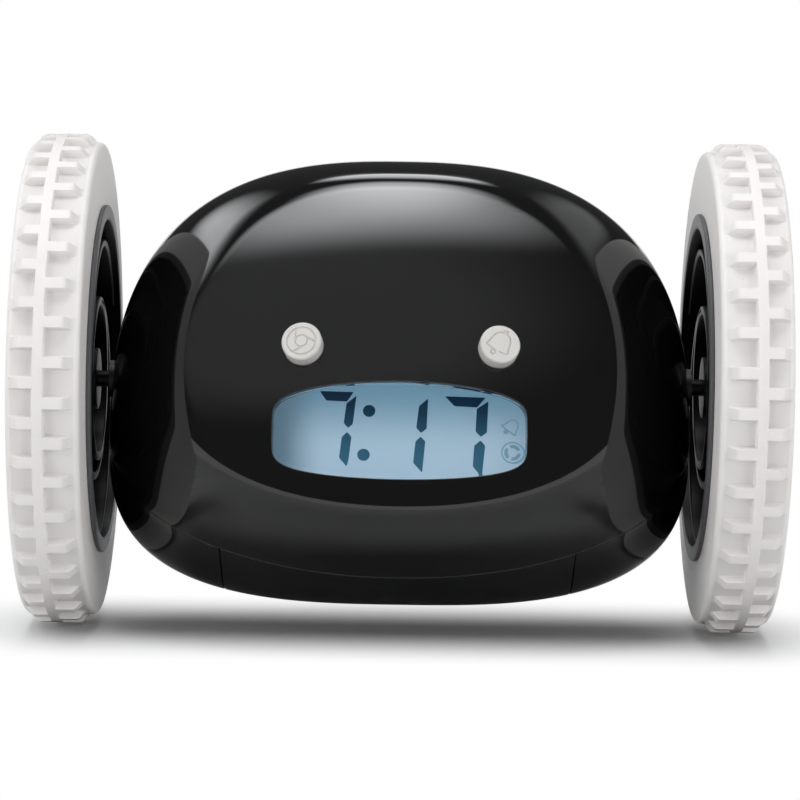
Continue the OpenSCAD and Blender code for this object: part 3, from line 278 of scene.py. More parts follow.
def shellPiece(name, lat, turn, outlines, body, replaced, wall, extra=(), dent=None):
    # The skin gets a wall: the same grid moved inwards along its normals, and round every
    # rim a quarter round of radius edge, then a straight side.
    lat, turn, triangles = cutSkin(lat, turn, outlines)
    points, normals = bodyPoint(lat, turn).reshape(-1, 3), bodyNormal(lat, turn).reshape(-1, 3)
    if dent:
        points, normals = dent(points, normals)
    points, normals, triangles = mergedSkin(points, normals, triangles)
    count = len(points)
    # the rim's edges belong to one face only, and its tangents t point away from the skin
    edges = np.vstack([triangles[:, [0, 1]], triangles[:, [1, 2]], triangles[:, [2, 0]]])
    codes = edges[:, 0] * count + edges[:, 1]
    rim = edges[~np.isin(codes, edges[:, 1] * count + edges[:, 0])]
    outward = unit(np.cross(points[rim[:, 1]] - points[rim[:, 0]], normals[rim].mean(1)))
    total = np.zeros((count, 3))
    for k in (0, 1):
        np.add.at(total, rim[:, k], outward)
    onRim = np.unique(rim)
    p, n, t = points[onRim], normals[onRim], total[onRim]
    t = unit(t) / np.maximum(np.linalg.norm(t, axis=1) / 2, skinForm["sharpest"])[:, None]
    t -= n * np.einsum("ij,ij->i", t, n)[:, None]
    place = np.zeros(count, int)
    place[onRim] = np.arange(len(onRim))
    edge = bodyForm["edge"]
    rings, ringNormals = [], []
    for angle in np.radians([22.5, 45, 67.5, 90]):
        rings.append(p + t * edge * math.sin(angle) - n * edge * (1 - math.cos(angle)))
        ringNormals.append(unit(n * math.cos(angle) + t * math.sin(angle)))
    rings.append(p + t * edge - n * wall)
    ringNormals.append(unit(t))
    inner = points - normals * wall
    inner[onRim] = rings[-1]
    innerStart = count + len(rings) * len(onRim)
    levels = [rim] + [count + k * len(onRim) + place[rim] for k in range(len(rings))]
    quads = np.vstack([np.stack([low[:, 1], low[:, 0], high[:, 0], high[:, 1]], -1)
                       for low, high in zip(levels, levels[1:] + [innerStart + rim])])
    skin = np.vstack([points] + rings + [inner])
    # the four-sided faces follow as a part that has no points of its own
    parts = [(skin, np.vstack([triangles, triangles[:, ::-1] + innerStart])),
             (np.zeros((0, 3)), quads - len(skin))] + [part[:2] for part in extra]
    makePiece(name, parts, body, replaced,
              np.vstack([normals] + ringNormals + [-normals] + [part[2] for part in extra]))


def grown(distance):
    # an outline is drawn wider by the radius of the rounded edge
    return lambda points: distance(points) - bodyForm["edge"]


windowForm = {"width": 43.9, "height": 17.2, "bulge": 2.25, "drop": 8.7, "corner": 6.0,
              "sink": 0.5, "thickness": 1.2, "clearance": 0.1, "slope": 0.15,
              "slopeDepth": 0.12, "wallStart": 2.0, "glassFront": -7.1, "glassGrow": 0.85,
              "glassLift": 0.6}


def windowMargin(x, y):
    # outside the display's opening: a superellipse of power corner whose half height falls from
    # the middle to the ends by the square of the distance, over its own steepness
    half, high, power = windowForm["width"] / 2, windowForm["height"] / 2, windowForm["corner"]

    def value(u, v):
        tall = np.maximum(high - windowForm["bulge"] * (u / half) ** 2, 1.0)
        return ((np.abs(u) / half) ** power + (np.abs(v) / tall) ** power) ** (1 / power) - 1
    step = 1e-3
    steep = np.hypot(value(x + step, y) - value(x - step, y),
                     value(x, y + step) - value(x, y - step))
    return value(x, y) / np.maximum(steep / (2 * step), 1e-6)


def windowHole(points):
    # the display's opening, for points that are near the face
    x, y, z = fromFace(points)
    return np.where(z > -30, windowMargin(x, y + windowForm["drop"]), farOff)


buttonForm = {"radius": 3.5, "stand": 2.4, "edge": 0.45, "offset": 16.85, "rise": 6.45,
              "play": 0.15, "grooveDepth": 0.24, "groove": 0.11, "grooveSoft": 0.07,
              "skirt": 2.4, "crown": 0.1, "shoulder": 0.04}


def domeFrame(x, y):
    # a place on the dome of the face, and its three directions
    tipX, tipY = (math.asin(place / bodyForm["faceRadius"]) for place in (x, y))
    right, up, out = np.array([1.0, 0, 0]), faceUp, faceOut
    newRight = right * math.cos(tipX) - out * math.sin(tipX)
    newOut = out * math.cos(tipX) + right * math.sin(tipX)
    newUp = up * math.cos(tipY) - newOut * math.sin(tipY)
    finalOut = newOut * math.cos(tipY) + up * math.sin(tipY)
    centre = faceMiddle - faceOut * bodyForm["faceRadius"]
    return centre + finalOut * bodyForm["faceRadius"], newRight, newUp, finalOut


def buttonHole(side):
    # outside a round hole, wider than its button by the play
    middle, right, up, out = domeFrame(side * buttonForm["offset"], buttonForm["rise"])
    radius = buttonForm["radius"] + buttonForm["play"]

    def distance(points):
        local = points - middle
        return np.where(local @ out > -20, np.hypot(local @ right, local @ up) - radius, farOff)
    return distance


rearForm = {"speakerDrop": 13.0, "slotStep": 3.6, "slotHeight": 1.6, "slotReach": 10.0,
            "setRadius": 2.65, "setSpacing": 13.0, "setRise": 5.5, "screwX": 43.5, "screwY": 14.0,
            "screwWell": 2.3, "screwHole": 0.95, "screwSeat": 4.0, "wellStop": 1.2}


def louvre(k):
    # outside a slot with round corners, one of five in a round field
    high, corner = rearForm["slotHeight"] / 2, 0.75
    half = math.sqrt(rearForm["slotReach"] ** 2 - (k * rearForm["slotStep"]) ** 2)
    z = k * rearForm["slotStep"] - rearForm["speakerDrop"]

    def distance(points):
        across = np.abs(points[..., 0]) - (half - corner)
        along = np.abs(points[..., 2] - z) - (high - corner)
        gap = np.hypot(np.maximum(across, 0), np.maximum(along, 0)) \
            + np.minimum(np.maximum(across, along), 0)
        return np.where(points[..., 1] > 10, gap - corner, farOff)
    return distance


def setHole(k):
    # outside the round hole of one of the three set buttons
    def distance(points):
        gap = np.hypot(points[..., 0] - k * rearForm["setSpacing"],
                       points[..., 2] - rearForm["setRise"])
        return np.where(points[..., 1] > 10, gap - rearForm["setRadius"], farOff)
    return distance


seamAngle = math.radians(bodyForm["seam"])
seamAlong = np.array([0, math.cos(seamAngle), math.sin(seamAngle)])
seamOut = np.array([0, -math.sin(seamAngle), math.cos(seamAngle)])
bodyMiddle = np.array([0, 0, -bodyForm["drop"]])


def screwWell(x, y):
    # outside a round well, square to the seam
    def distance(points):
        local = points - bodyMiddle
        gap = np.hypot(local[..., 0] - x, local @ seamAlong - y)
        return np.where(local @ seamOut < 0, gap - rearForm["screwWell"], farOff)
    return distance


def wellWall(x, y):
    # the well's round side, from its seat up to the shell, and the ring it ends in
    angle = np.linspace(0, 2 * math.pi, 41)[:, None]
    radial = np.array([1.0, 0, 0]) * np.cos(angle) + seamAlong * np.sin(angle)
    foot = bodyMiddle + np.array([x, 0, 0]) + seamAlong * y \
        + radial * (rearForm["screwWell"] + 0.02)
    low, high = np.full(len(angle), rearForm["screwSeat"]), np.full(len(angle), farOff)
    for halving in range(24):
        middle = (low + high) / 2
        inside = depthInBody(foot - seamOut * middle[:, None]) > rearForm["wellStop"]
        low, high = np.where(inside, middle, low), np.where(inside, high, middle)
    levels = rearForm["screwSeat"] + (low - rearForm["screwSeat"]) * np.linspace(0, 1, 3)[:, None]
    side = foot[None] - seamOut * levels[..., None]
    inner = foot - radial * (rearForm["screwWell"] - rearForm["screwHole"])
    ring = np.stack([inner, foot]) - seamOut * rearForm["screwSeat"]
    return [(*sheet(side), np.tile(-radial, (3, 1))),
            (*sheet(ring), np.tile(-seamOut, (2 * len(foot), 1)))]


def seamRows(start, end, rows, lat):
    # rows of turns between two seams, each held back by half the gap and the rounded edge
    hold = bodyForm["gap"] / 2 + bodyForm["edge"]
    x = bodyForm["halfWidth"] * np.sin(lat)
    room = [hold / np.maximum(bodyReach(x, np.full(x.shape, math.radians(v))), 0.2)
            for v in (start, end)]
    low = math.radians(start) + np.minimum(room[0], 0.6)
    high = math.radians(end) - np.minimum(room[1], 0.6)
    return low[:, None] + (high - low)[:, None] * rows[None]


shellLat = np.radians(np.linspace(-90, 90, skinForm["across"]))
shellRows = np.linspace(0, 1, skinForm["around"])
seam = bodyForm["seam"]


def shellHalf(name, start, end, holes, node, extra=()):
    # half of the body, between two turns in degrees, with its holes
    shellPiece(name, np.repeat(shellLat[:, None], skinForm["around"], 1),
               seamRows(start, end, shellRows, shellLat), [grown(hole) for hole in holes],
               "clock", [node], bodyForm["wall"], extra)


shellHalf("shellFront", -seam, 180 - seam, [windowHole, buttonHole(-1), buttonHole(1)],
          "front_shell")

doorForm = {"wall": 1.8, "grid": (151, 141), "gripY": -19.6, "gripZ": -39.4, "gripRadius": 2.6,
            "gripHalf": 15.0, "gripEnd": 1.2, "gripShare": 0.62, "gripDeep": 1.3}
doorHigh = 360 - seam
doorLow = doorHigh - bodyForm["doorReach"]


def doorOpening(points):
    # beyond the door's sides and above its upper edge
    turn, reach = aroundBody(points)
    turn = np.degrees(turn) % 360
    aside = np.abs(points[..., 0]) - bodyForm["doorHalfWidth"]
    above = np.radians(doorLow - turn) * reach
    above = np.where((turn < 90) | (turn > 340), farOff, above)
    return np.maximum(aside, above)


wells = [(sx * rearForm["screwX"], sy * rearForm["screwY"]) for sx in (-1, 1) for sy in (-1, 1)]
shellHalf("shellRear", 180 - seam, 360 - seam,
          [doorOpening] + [louvre(k) for k in range(-2, 3)]
          + [setHole(k) for k in (-1, 0, 1)] + [screwWell(*well) for well in wells],
          "rear_shell", [part for well in wells for part in wellWall(*well)])


def doorGrip(points, normals):
    # inside the grip's cylinder the skin is pushed in by a share of the depth to its round wall
    away = points[:, 1:] - [doorForm["gripY"], doorForm["gripZ"]]
    distance = np.linalg.norm(away, axis=1)
    depth = np.sqrt(np.maximum(doorForm["gripRadius"] ** 2 - distance ** 2, 0))
    ends = ease(0, doorForm["gripEnd"], doorForm["gripHalf"] - np.abs(points[:, 0]))
    sink = np.minimum(depth * doorForm["gripShare"], doorForm["gripDeep"]) * ends
    moved = points - normals * sink[:, None]
    grid = moved.reshape(*doorForm["grid"], 3)
    across = np.cross(np.gradient(grid, axis=0), np.gradient(grid, axis=1)).reshape(-1, 3)
    across = unit(across) * np.sign((across * normals).sum(1))[:, None]
    return moved, np.where((sink > 0)[:, None], across, normals)


def doorPiece():
    # the body's surface between the door's edges, each held back by its gap and rounded edge
    columns, rows = doorForm["grid"]
    hold = bodyForm["edge"] + bodyForm["doorGap"]
    x = np.linspace(-1, 1, columns) * (bodyForm["doorHalfWidth"] - hold)
    lat = np.arcsin(x / bodyForm["halfWidth"])
    low, high = (bodyReach(x, np.full(x.shape, math.radians(v))) for v in (doorLow, doorHigh))
    start = math.radians(doorLow) + hold / low
    end = math.radians(doorHigh) - (bodyForm["edge"] + bodyForm["gap"] / 2) / high
    turn = start[:, None] + (end - start)[:, None] * np.linspace(0, 1, rows)[None]
    shellPiece("door", np.repeat(lat[:, None], rows, 1), turn, [], "battery_door",
               ["battery_door"], doorForm["wall"], dent=doorGrip)


doorPiece()


def windowEdge(grow, lift=0.0):
    # the outline of the display's opening as a loop of points on the face panel
    angle = fullTurn(240)
    half, high = windowForm["width"] / 2 + grow, windowForm["height"] / 2 + grow
    across, along = (np.sign(part) * np.abs(part) ** (2 / windowForm["corner"])
                     for part in (np.cos(angle), np.sin(angle)))
    x = half * across
    y = (high - windowForm["bulge"] * (x / half) ** 2) * along
    return x, y + lift - windowForm["drop"]


def lensPiece():
    # the outline shrunk towards its middle in steps, laid on a sphere under the face's dome;
    # a narrow slope and a side lead to the same shape on the back
    sphere = bodyForm["faceRadius"] - windowForm["sink"]
    shrink = np.linspace(0, 1, 25)[:, None]

    def skin(grow, sink):
        x, y = windowEdge(grow - windowForm["clearance"])
        u, v = x * shrink, (y + windowForm["drop"]) * shrink - windowForm["drop"]
        height = np.sqrt((sphere - sink) ** 2 - u ** 2 - v ** 2) - bodyForm["faceRadius"]
        return onFace(u, v, height)
    front, side = skin(-windowForm["slope"], 0), skin(0, windowForm["slopeDepth"])[-1:]
    back = skin(0, windowForm["thickness"])[::-1]
    makePiece("lens", [sheet(np.vstack([front, side, back]), False, True)],
              "clock", ["display_window"])


surroundForm = {"inner": 0.12, "outer": 0.8, "foot": 0.5, "footGap": 0.03}


def surroundPiece():
    # a pale wall that widens from the opening to the edge of the display's glass and glows in the
    # display's colours, painted light, so that the light of the display fills the whole opening
    grow, lift = windowForm["glassGrow"], windowForm["glassLift"]
    sphere = bodyForm["faceRadius"] - windowForm["wallStart"]

    def loop(grow, lift, onGlass):
        x, y = windowEdge(grow, lift)
        under = np.sqrt(sphere ** 2 - x ** 2 - y ** 2) - bodyForm["faceRadius"]
        glass = windowForm["glassFront"] + surroundForm["footGap"]
        return onFace(x, y, glass if onGlass else under)
    rows = [loop(grow, lift, True), loop(surroundForm["inner"], 0, False),
            loop(surroundForm["outer"], 0, False), loop(grow + surroundForm["foot"], lift, True)]
    makePiece("lensSurround", [sheet(np.stack(rows), True, True)], "clock")


lensPiece()
surroundPiece()

# The bars of 7:17 as they stand on the display, from its middle, in millimetres
digitForm = {
    "bars": [
        [(-13.93, 9.28), (-8.05, 9.2), (-9.16, 7.47), (-12.75, 7.58)],
        [(-7.55, 8.53), (-7.72, 6.9), (-8.1, 3.38), (-8.9, 2.68), (-9.66, 3.52), (-9.25, 7.12)],
        [(-9.05, 1.93), (-8.28, 1.05), (-8.72, -3.1), (-9.02, -4.29), (-10.35, -2.72),
         (-9.94, 1.03)],
        [(4.87, 8.22), (4.68, 2.73), (3.71, 1.97), (2.88, 2.88), (3.32, 6.82)],
        [(3.65, 1.28), (4.48, 0.45), (4.0, -5.19), (2.42, -3.43), (2.79, 0.42)],
        [(7.8, 8.68), (14.83, 8.55), (13.37, 6.74), (9.45, 6.92)],
        [(15.32, 7.87), (15.1, 2.22), (14.06, 1.42), (13.14, 2.36), (13.31, 6.47)],
        [(14.0, 0.77), (14.82, -0.17), (14.27, -5.84), (12.7, -3.93), (12.93, -0.2)],
    ],
    "dots": [(-5.31, 5.82), (-6.14, -2.14)], "dot": 1.08, "drop": 9.2, "corner": 0.16,
    "thickness": 0.04,
}
inkBase = windowForm["glassFront"]
inkTop = inkBase + digitForm["thickness"]


def plate(outline):
    # a filled outline on the display's glass, given a little thickness
    x, y = outline[:, 0], outline[:, 1] - digitForm["drop"]
    middle = np.repeat(onFace(x.mean(), y.mean(), inkTop)[None], len(x), 0)
    return sheet(np.stack([onFace(x, y, inkBase), onFace(x, y, inkTop), middle]), False, True)


def ribbon(outline, width, closed=True):
    # a line of even width along an outline, as a low square bar
    along = np.gradient(outline, axis=0)
    if closed:
        along = np.roll(outline, -1, 0) - np.roll(outline, 1, 0)
    across = unit(along) @ np.array([[0, 1], [-1, 0]]) * width / 2
    corners = ((1, inkBase), (1, inkTop), (-1, inkTop), (-1, inkBase))
    points = np.stack([onFace(*(outline + across * side).T - [[0], [digitForm["drop"]]], level)
                       for side, level in corners])
    if not closed:
        ends = np.repeat(points.mean(0)[None], 4, 0)
        points = np.concatenate([ends[:, :1], points, ends[:, -1:]], 1)
    return sheet(points, True, closed)


def circle(x, y, radius, start=0, end=360):
    angle = np.radians(np.linspace(start, end, 37)[:-1 if end - start == 360 else None])
    return np.array([x, y]) + radius * np.stack([np.cos(angle), np.sin(angle)], -1)


bars = [plate(softened(np.array(bar), digitForm["corner"])) for bar in digitForm["bars"]]
dots = [plate(circle(x, y, digitForm["dot"])) for x, y in digitForm["dots"]]
makePiece("digits", bars + dots, "clock")

signForm = {
    "bell": (19.35, 3.35), "bellTurn": -38, "bellScale": 1.18, "bellLine": 0.26,
    "bellCorner": 0.3,
    "bellHalf": [(1.35, -0.8), (1.02, -0.42), (0.88, 0.25), (0.52, 0.92), (0.0, 1.15)],
    "clapper": 0.42, "clapperPlace": (-0.2, -1.35), "ring": (19.54, -1.35), "ringRadius": 1.85,
    "ringLine": 0.24, "arcRadius": 1.12, "arcLine": 0.6, "arcStarts": (20, 140, 260),
    "arcSweep": 92,
}


def signParts():
    # the outline of a bell with its clapper, and a ring round an inner ring of arcs
    form = signForm
    half = np.array(form["bellHalf"]) * form["bellScale"]
    bell = softened(np.vstack([half, (half[:-1] * [-1, 1])[::-1]]), form["bellCorner"])
    turn = math.radians(form["bellTurn"])
    spin = np.array([[math.cos(turn), math.sin(turn)], [-math.sin(turn), math.cos(turn)]])
    clapper = np.array(form["clapperPlace"]) @ spin + form["bell"]
    parts = [ribbon(bell @ spin + form["bell"], form["bellLine"]),
             plate(circle(*clapper, form["clapper"])),
             ribbon(circle(*form["ring"], form["ringRadius"]), form["ringLine"])]
    arcs = [circle(*form["ring"], form["arcRadius"], start, start + form["arcSweep"])
            for start in form["arcStarts"]]
    return parts + [ribbon(arc, form["arcLine"], False) for arc in arcs]


makePiece("signs", signParts(), "clock")


def lineDistance(x, y, points):
    # to the nearest of a chain of straight lines
    x, y, start, along = x[..., None], y[..., None], points[:-1], np.diff(points, axis=0)
    t = ((x - start[:, 0]) * along[:, 0] + (y - start[:, 1]) * along[:, 1]) / (along ** 2).sum(1)
    t = np.clip(t, 0, 1)
    return np.hypot(x - start[:, 0] - t * along[:, 0], y - start[:, 1] - t * along[:, 1]).min(-1)


# The signs pressed into the two buttons, in millimetres from each button's middle
wheelSign = {"small": 1.05, "large": 2.5, "turns": (178, 58, -62)}
bellSign = {"lean": -27, "aside": 0.1, "corner": 0.35, "clapper": (-0.35, -1.95),
            "clapperRadius": 0.4, "loopRise": 2.4, "loopRadius": 0.3,
            "half": [(0.0, 2.1), (0.5, 2.05), (1.15, 1.7), (1.55, 1.05), (1.72, 0.2), (1.85, -0.5),
                     (2.15, -1.1), (0.9, -1.45), (0.0, -1.5)]}


def wheelGroove(x, y):
    # a ring, a smaller ring, and three lines that leave the small one sideways
    radius, small, large = np.hypot(x, y), wheelSign["small"], wheelSign["large"]
    lines = []
    for turn in np.radians(wheelSign["turns"]):
        start = small * np.array([math.cos(turn), math.sin(turn)])
        along = np.array([math.sin(turn), -math.cos(turn)]) * math.sqrt(large ** 2 - small ** 2)
        lines.append(lineDistance(x, y, np.array([start, start + along])))
    lines += [np.abs(radius - large), np.abs(radius - small)]
    return np.min(lines, 0) - buttonForm["groove"]


def bellGroove(x, y):
    # the outline of a leaning bell, its mouth, its clapper and the loop on top
    form, lean = bellSign, math.radians(bellSign["lean"])
    u = x * math.cos(lean) + y * math.sin(lean) + form["aside"]
    v = y * math.cos(lean) - x * math.sin(lean)
    line = lineDistance(np.abs(u), v, softened(np.array(form["half"]), form["corner"])[4:-4])
    place = form["clapper"]
    clapper = np.abs(np.hypot(u - place[0], v - place[1]) - form["clapperRadius"])
    loop = np.abs(np.hypot(u, v - form["loopRise"]) - form["loopRadius"])
    return np.min([line, clapper, loop], 0) - buttonForm["groove"]


def buttonPiece(name, side, groove, node):
    # Height over a disc: flat inside, falling as a quarter round at the edge, less a groove
    # of soft sides; then the round side down to the skirt.
    form = buttonForm
    middle, right, up, out = domeFrame(side * form["offset"], form["rise"])
    flatEnd = form["radius"] - form["edge"]
    bend = np.linspace(0, math.pi / 2, 9)[1:]
    radius = np.concatenate([np.linspace(0, flatEnd, 46), flatEnd + form["edge"] * np.sin(bend),
                             [form["radius"]] * 2])[:, None]
    height = np.concatenate([np.full(46, form["stand"]),
                             form["stand"] - form["edge"] * (1 - np.cos(bend)),
                             [0.0, -form["skirt"]]])[:, None]
    angle = fullTurn(200)
    x, y = radius * np.cos(angle), radius * np.sin(angle)
    crown = -form["crown"] * (radius / form["radius"]) ** 2
    cut = form["grooveDepth"] * (1 - ease(-form["grooveSoft"], form["grooveSoft"], groove(x, y)))
    z = height + np.where(radius < flatEnd + 0.01, crown - cut, -form["shoulder"])
    points = middle + x[..., None] * right + y[..., None] * up + z[..., None] * out
    makePiece(name, [sheet(points, False, True)], node, [node])


buttonPiece("wheelButton", -1, wheelGroove, "wheel_button")
buttonPiece("alarmButton", 1, bellGroove, "alarm_button")
print("body, display and buttons done")

tyreForm = {"inner": 54.4, "outer": 67.0, "top": 44.5, "floor": 43.0, "floorCorner": 0.9,
            "topCorner": 2.6, "topInset": 0.2, "seat": 31.2, "sideRows": (31.6, 33, 36, 39, 40.4),
            "lugs": 40, "lugHalf": 1.1, "ribMiddle": 61.4, "ribHalf": 1.0, "ribSoft": 0.14,
            "rows": ((56.5, 61.4), (61.4, 65.7)), "slope": 1.0, "soft": 0.3, "hollowInset": 0.8}


def tyreParts():
    # The radius over (place across, angle): a floor with round corners, and where a lug or
    # the middle rib stands, the higher outline. Lugs come and go by soft steps and slope down
    # to the plain shoulders, and the two rows are half a pitch apart.
    form, inner, outer = tyreForm, tyreForm["inner"], tyreForm["outer"]
    corner = form["topCorner"] * (1 - np.cos(np.linspace(0, math.pi / 2, 9)))
    ribSide = form["ribHalf"] + np.linspace(-0.3, 0.1, 5)
    across = np.concatenate([
        inner + corner, outer - corner,
        np.linspace(inner + form["topCorner"], outer - form["topCorner"], 9),
        form["ribMiddle"] + np.concatenate([-ribSide, [0], ribSide]),
        form["rows"][0][0] + form["slope"] * np.linspace(-1, 1, 7),
        form["rows"][1][1] + form["slope"] * np.linspace(-1, 1, 7)])
    across = np.unique(np.round(across, 4))
    pitch = 2 * math.pi / form["lugs"]
    half, soft = form["lugHalf"] / form["top"], form["soft"] / form["top"]
    steps = soft * np.linspace(-0.75, 0.75, 6)
    local = np.concatenate([-half + steps, half + steps, [0, half * 0.5, -half * 0.5]])
    local = np.concatenate([local, local + pitch / 2, [pitch * 0.25, -pitch * 0.25]])
    local = np.unique(np.round((local + pitch * 10.25) % pitch, 7))
    angle = (np.arange(form["lugs"])[:, None] * pitch + local[None]).reshape(-1) - pitch / 4

    def row(start, low, high):
        offset = np.abs((angle / pitch - start + 0.5) % 1 - 0.5) * pitch
        lug = 1 - ease(half - soft / 2, half + soft / 2, offset)
        place = ease(low - form["slope"], low + form["slope"], across) \
            * (1 - ease(high - form["slope"], high + form["slope"], across))
        return place[:, None] * lug[None]
    rib = 1 - ease(form["ribHalf"] - form["ribSoft"], form["ribHalf"] + form["ribSoft"],
                   np.abs(across - form["ribMiddle"]))
    first, second = form["rows"]
    stand = np.maximum(np.maximum(row(0, *first), row(0.5, *second)), rib[:, None])

    def fall(radius, low):
        near = np.clip(np.minimum(across - low, outer - across), 0, radius)
        return radius - np.sqrt(np.maximum(radius ** 2 - (radius - near) ** 2, 0))
    floor = form["floor"] - fall(form["floorCorner"], inner)
    top = form["top"] - fall(form["topCorner"], inner + form["topInset"])
    radius = floor[:, None] + stand * np.maximum(top - floor, 0)[:, None]
    within = (across > inner + form["hollowInset"]) & (across < outer - form["hollowInset"])
    side = np.array([form["seat"], *form["sideRows"]])
    sides = np.repeat(side[:, None], len(angle), 1)
    x = np.concatenate([np.full(len(side), inner), across, np.full(len(side), outer)])[:, None]
    # a mark for painted shade in the tread's hollows: 1 between the lugs, 0 on the lugs, the rib,
    # the edges and the sides
    hollowShade = np.vstack([0 * sides, (1 - stand) * within[:, None], 0 * sides])
    return sheet(aboutAxle(x, np.vstack([sides, radius, sides[::-1]]), angle), True, True), \
        hollowShade.reshape(-1)


def wheelPair(name, node, parts, marks=None):
    # the right wheel's piece and its mirror image for the left wheel
    for side, sideParts in (("right", parts), ("left", mirroredParts(parts))):
        makePiece(name + side.title(), sideParts, "wheel_" + side, [node + "_" + side],
                  marks=marks)


tyrePart, tyreHollowShade = tyreParts()
wheelPair("tyre", "tyre", [tyrePart], {"hollowShade": tyreHollowShade})

rimForm = {"lipStand": 0.8, "barrel": 29.0, "seat": 31.0, "lip": 31.7, "discIn": 61.8,
           "discOut": 63.4, "hub": 5.6, "hubFace": 55.1, "bore": 1.5, "boreEnd": 61.0,
           "dish": 0.5, "dishSlope": 0.7, "dishStart": 10.5, "dishEnd": 2.5, "outerLip": 0.6,
           "corner": 0.28, "ringFace": 54.8, "ringRadius": 15.0, "ringWall": 1.6,
           "ringCorner": 0.32, "rooted": 0.2, "spoke": 1.3, "spokes": 3, "spokeTurn": 143.0,
           "spokeRound": 0.35, "spokeRoot": 0.5}


def spokePart(turn):
    # an upright rib with a round top, carried along half a circle from the ring to the barrel
    form = rimForm
    half, edge, foot = form["spoke"] / 2, form["spokeRound"], form["discIn"] + form["rooted"]
    end = form["barrel"] + form["spokeRoot"]
    big = (end + form["ringRadius"] - form["rooted"]) / 2 - half
    angle = np.linspace(0.01, math.pi - 0.01, 61)
    normal = np.stack([np.cos(angle), np.sin(angle)], -1)
    path = [end - big - half, 0] + big * normal
    bend = np.linspace(0, math.pi / 2, 6)
    off = half - edge * (1 - np.cos(bend))
    off = np.concatenate([[-half], -off, off[::-1], [half]])
    top = form["ringFace"] + edge * (1 - np.sin(bend))
    x = np.concatenate([[foot], top, top[::-1], [foot]])
    y, z = np.moveaxis(path[:, None] + normal[:, None] * off[None, :, None], -1, 0)
    spin = math.radians(turn)
    return sheet(np.stack([np.repeat(x[None], len(angle), 0),
                           y * math.cos(spin) - z * math.sin(spin),
                           y * math.sin(spin) + z * math.cos(spin)], -1))


def rimParts():
    # the barrel with its lips, disc and hub, and the ring wall, each an outline turned round
    form, inner, outer = rimForm, tyreForm["inner"], tyreForm["outer"]
    barrel, hub, disc, lip = form["barrel"], form["hub"], form["discOut"], outer - form["outerLip"]
    profile = np.array([
        [inner - form["lipStand"], barrel], [form["discIn"], barrel], [form["discIn"], hub],
        [form["hubFace"], hub], [form["hubFace"], form["bore"]], [form["boreEnd"], form["bore"]],
        [form["boreEnd"], 0.0], [disc, 0.0], [disc, form["dishStart"]],
        [disc + form["dish"], form["dishStart"] + form["dishSlope"]],
        [disc + form["dish"], barrel - form["dishEnd"] - form["dishSlope"]],
        [disc, barrel - form["dishEnd"]], [disc, barrel], [outer, barrel], [outer, form["lip"]],
        [lip, form["lip"]], [lip, form["seat"]], [inner, form["seat"]], [inner, form["lip"]],
        [inner - form["lipStand"], form["lip"]]])
    ringInner, foot = form["ringRadius"] - form["ringWall"], form["discIn"] + form["rooted"]
    ring = np.array([[form["ringFace"], ringInner], [foot, ringInner],
                     [foot, form["ringRadius"]], [form["ringFace"], form["ringRadius"]]])
    spokes = [spokePart(form["spokeTurn"] + k * 360 / form["spokes"])
              for k in range(form["spokes"])]
    return [turned(softened(profile, form["corner"])),
            turned(softened(ring, form["ringCorner"]))] + spokes


wheelPair("rim", "rim", rimParts())

capForm = {"start": 63.4, "thickness": 1.6, "radius": 9.0, "corner": 0.35, "dish": 0.35,
           "border": 1.8, "slope": 0.6}


def capPart():
    # a flat cap with a raised border, its outline turned round the axle
    form = capForm
    end, step = form["start"] + form["thickness"], form["radius"] - form["border"]
    profile = np.array([[form["start"], 0.0], [form["start"], form["radius"]],
                        [end, form["radius"]], [end, step],
                        [end - form["dish"], step - form["slope"]], [end - form["dish"], 0.0]])
    return turned(softened(profile, form["corner"]), 96)


wheelPair("cap", "hub_cap", [capPart()])
print("wheels done")


def feed(tree, node, inputs):
    # each input, named or numbered, gets a value or a link from another node's socket
    for key, value in inputs.items():
        if isinstance(value, bpy.types.NodeSocket):
            tree.links.new(value, node.inputs[key])
        else:
            node.inputs[key].default_value = value


def addNode(tree, kind, inputs={}, **settings):
    # a new node in the next place of a grid of eight columns, with its inputs fed
    node = tree.nodes.new(kind)
    node.location = (200 * (len(tree.nodes) % 8 - 8), -300 * (len(tree.nodes) // 8))
    for key, value in settings.items():
        setattr(node, key, value)
    feed(tree, node, inputs)
    return node.outputs


def combine(tree, operation, first, second=0):
    # a sum or comparison of two numbers, each a value or another node's socket
    return addNode(tree, "ShaderNodeMath", {0: first, 1: second}, operation=operation)[0]


def combineVectors(tree, operation, first, second=(0, 0, 0)):
    made = addNode(tree, "ShaderNodeVectorMath", {0: first, 1: second}, operation=operation)
    return made["Value" if operation == "LENGTH" else "Vector"]


def ramp(tree, value, start, end, low=0.0, high=1.0, steps="SMOOTHSTEP"):
    # low up to start, high from end on
    return addNode(tree, "ShaderNodeMapRange", {
        "Value": value, "From Min": start, "From Max": end, "To Min": low, "To Max": high},
        interpolation_type=steps)["Result"]


def blendColour(tree, factor, first, second):
    # a mix of two colours, each a tuple or another node's socket
    first, second = ((*c, 1) if isinstance(c, tuple) else c for c in (first, second))
    return addNode(tree, "ShaderNodeMix", {"Factor": factor, "A": first, "B": second},
                   data_type="RGBA")["Result"]


lifeForm = {"toneDetail": 3, "detail": 2, "dustPatches": 90, "dustBeyond": 0.56,
            "bumpDepth": 0.00004}


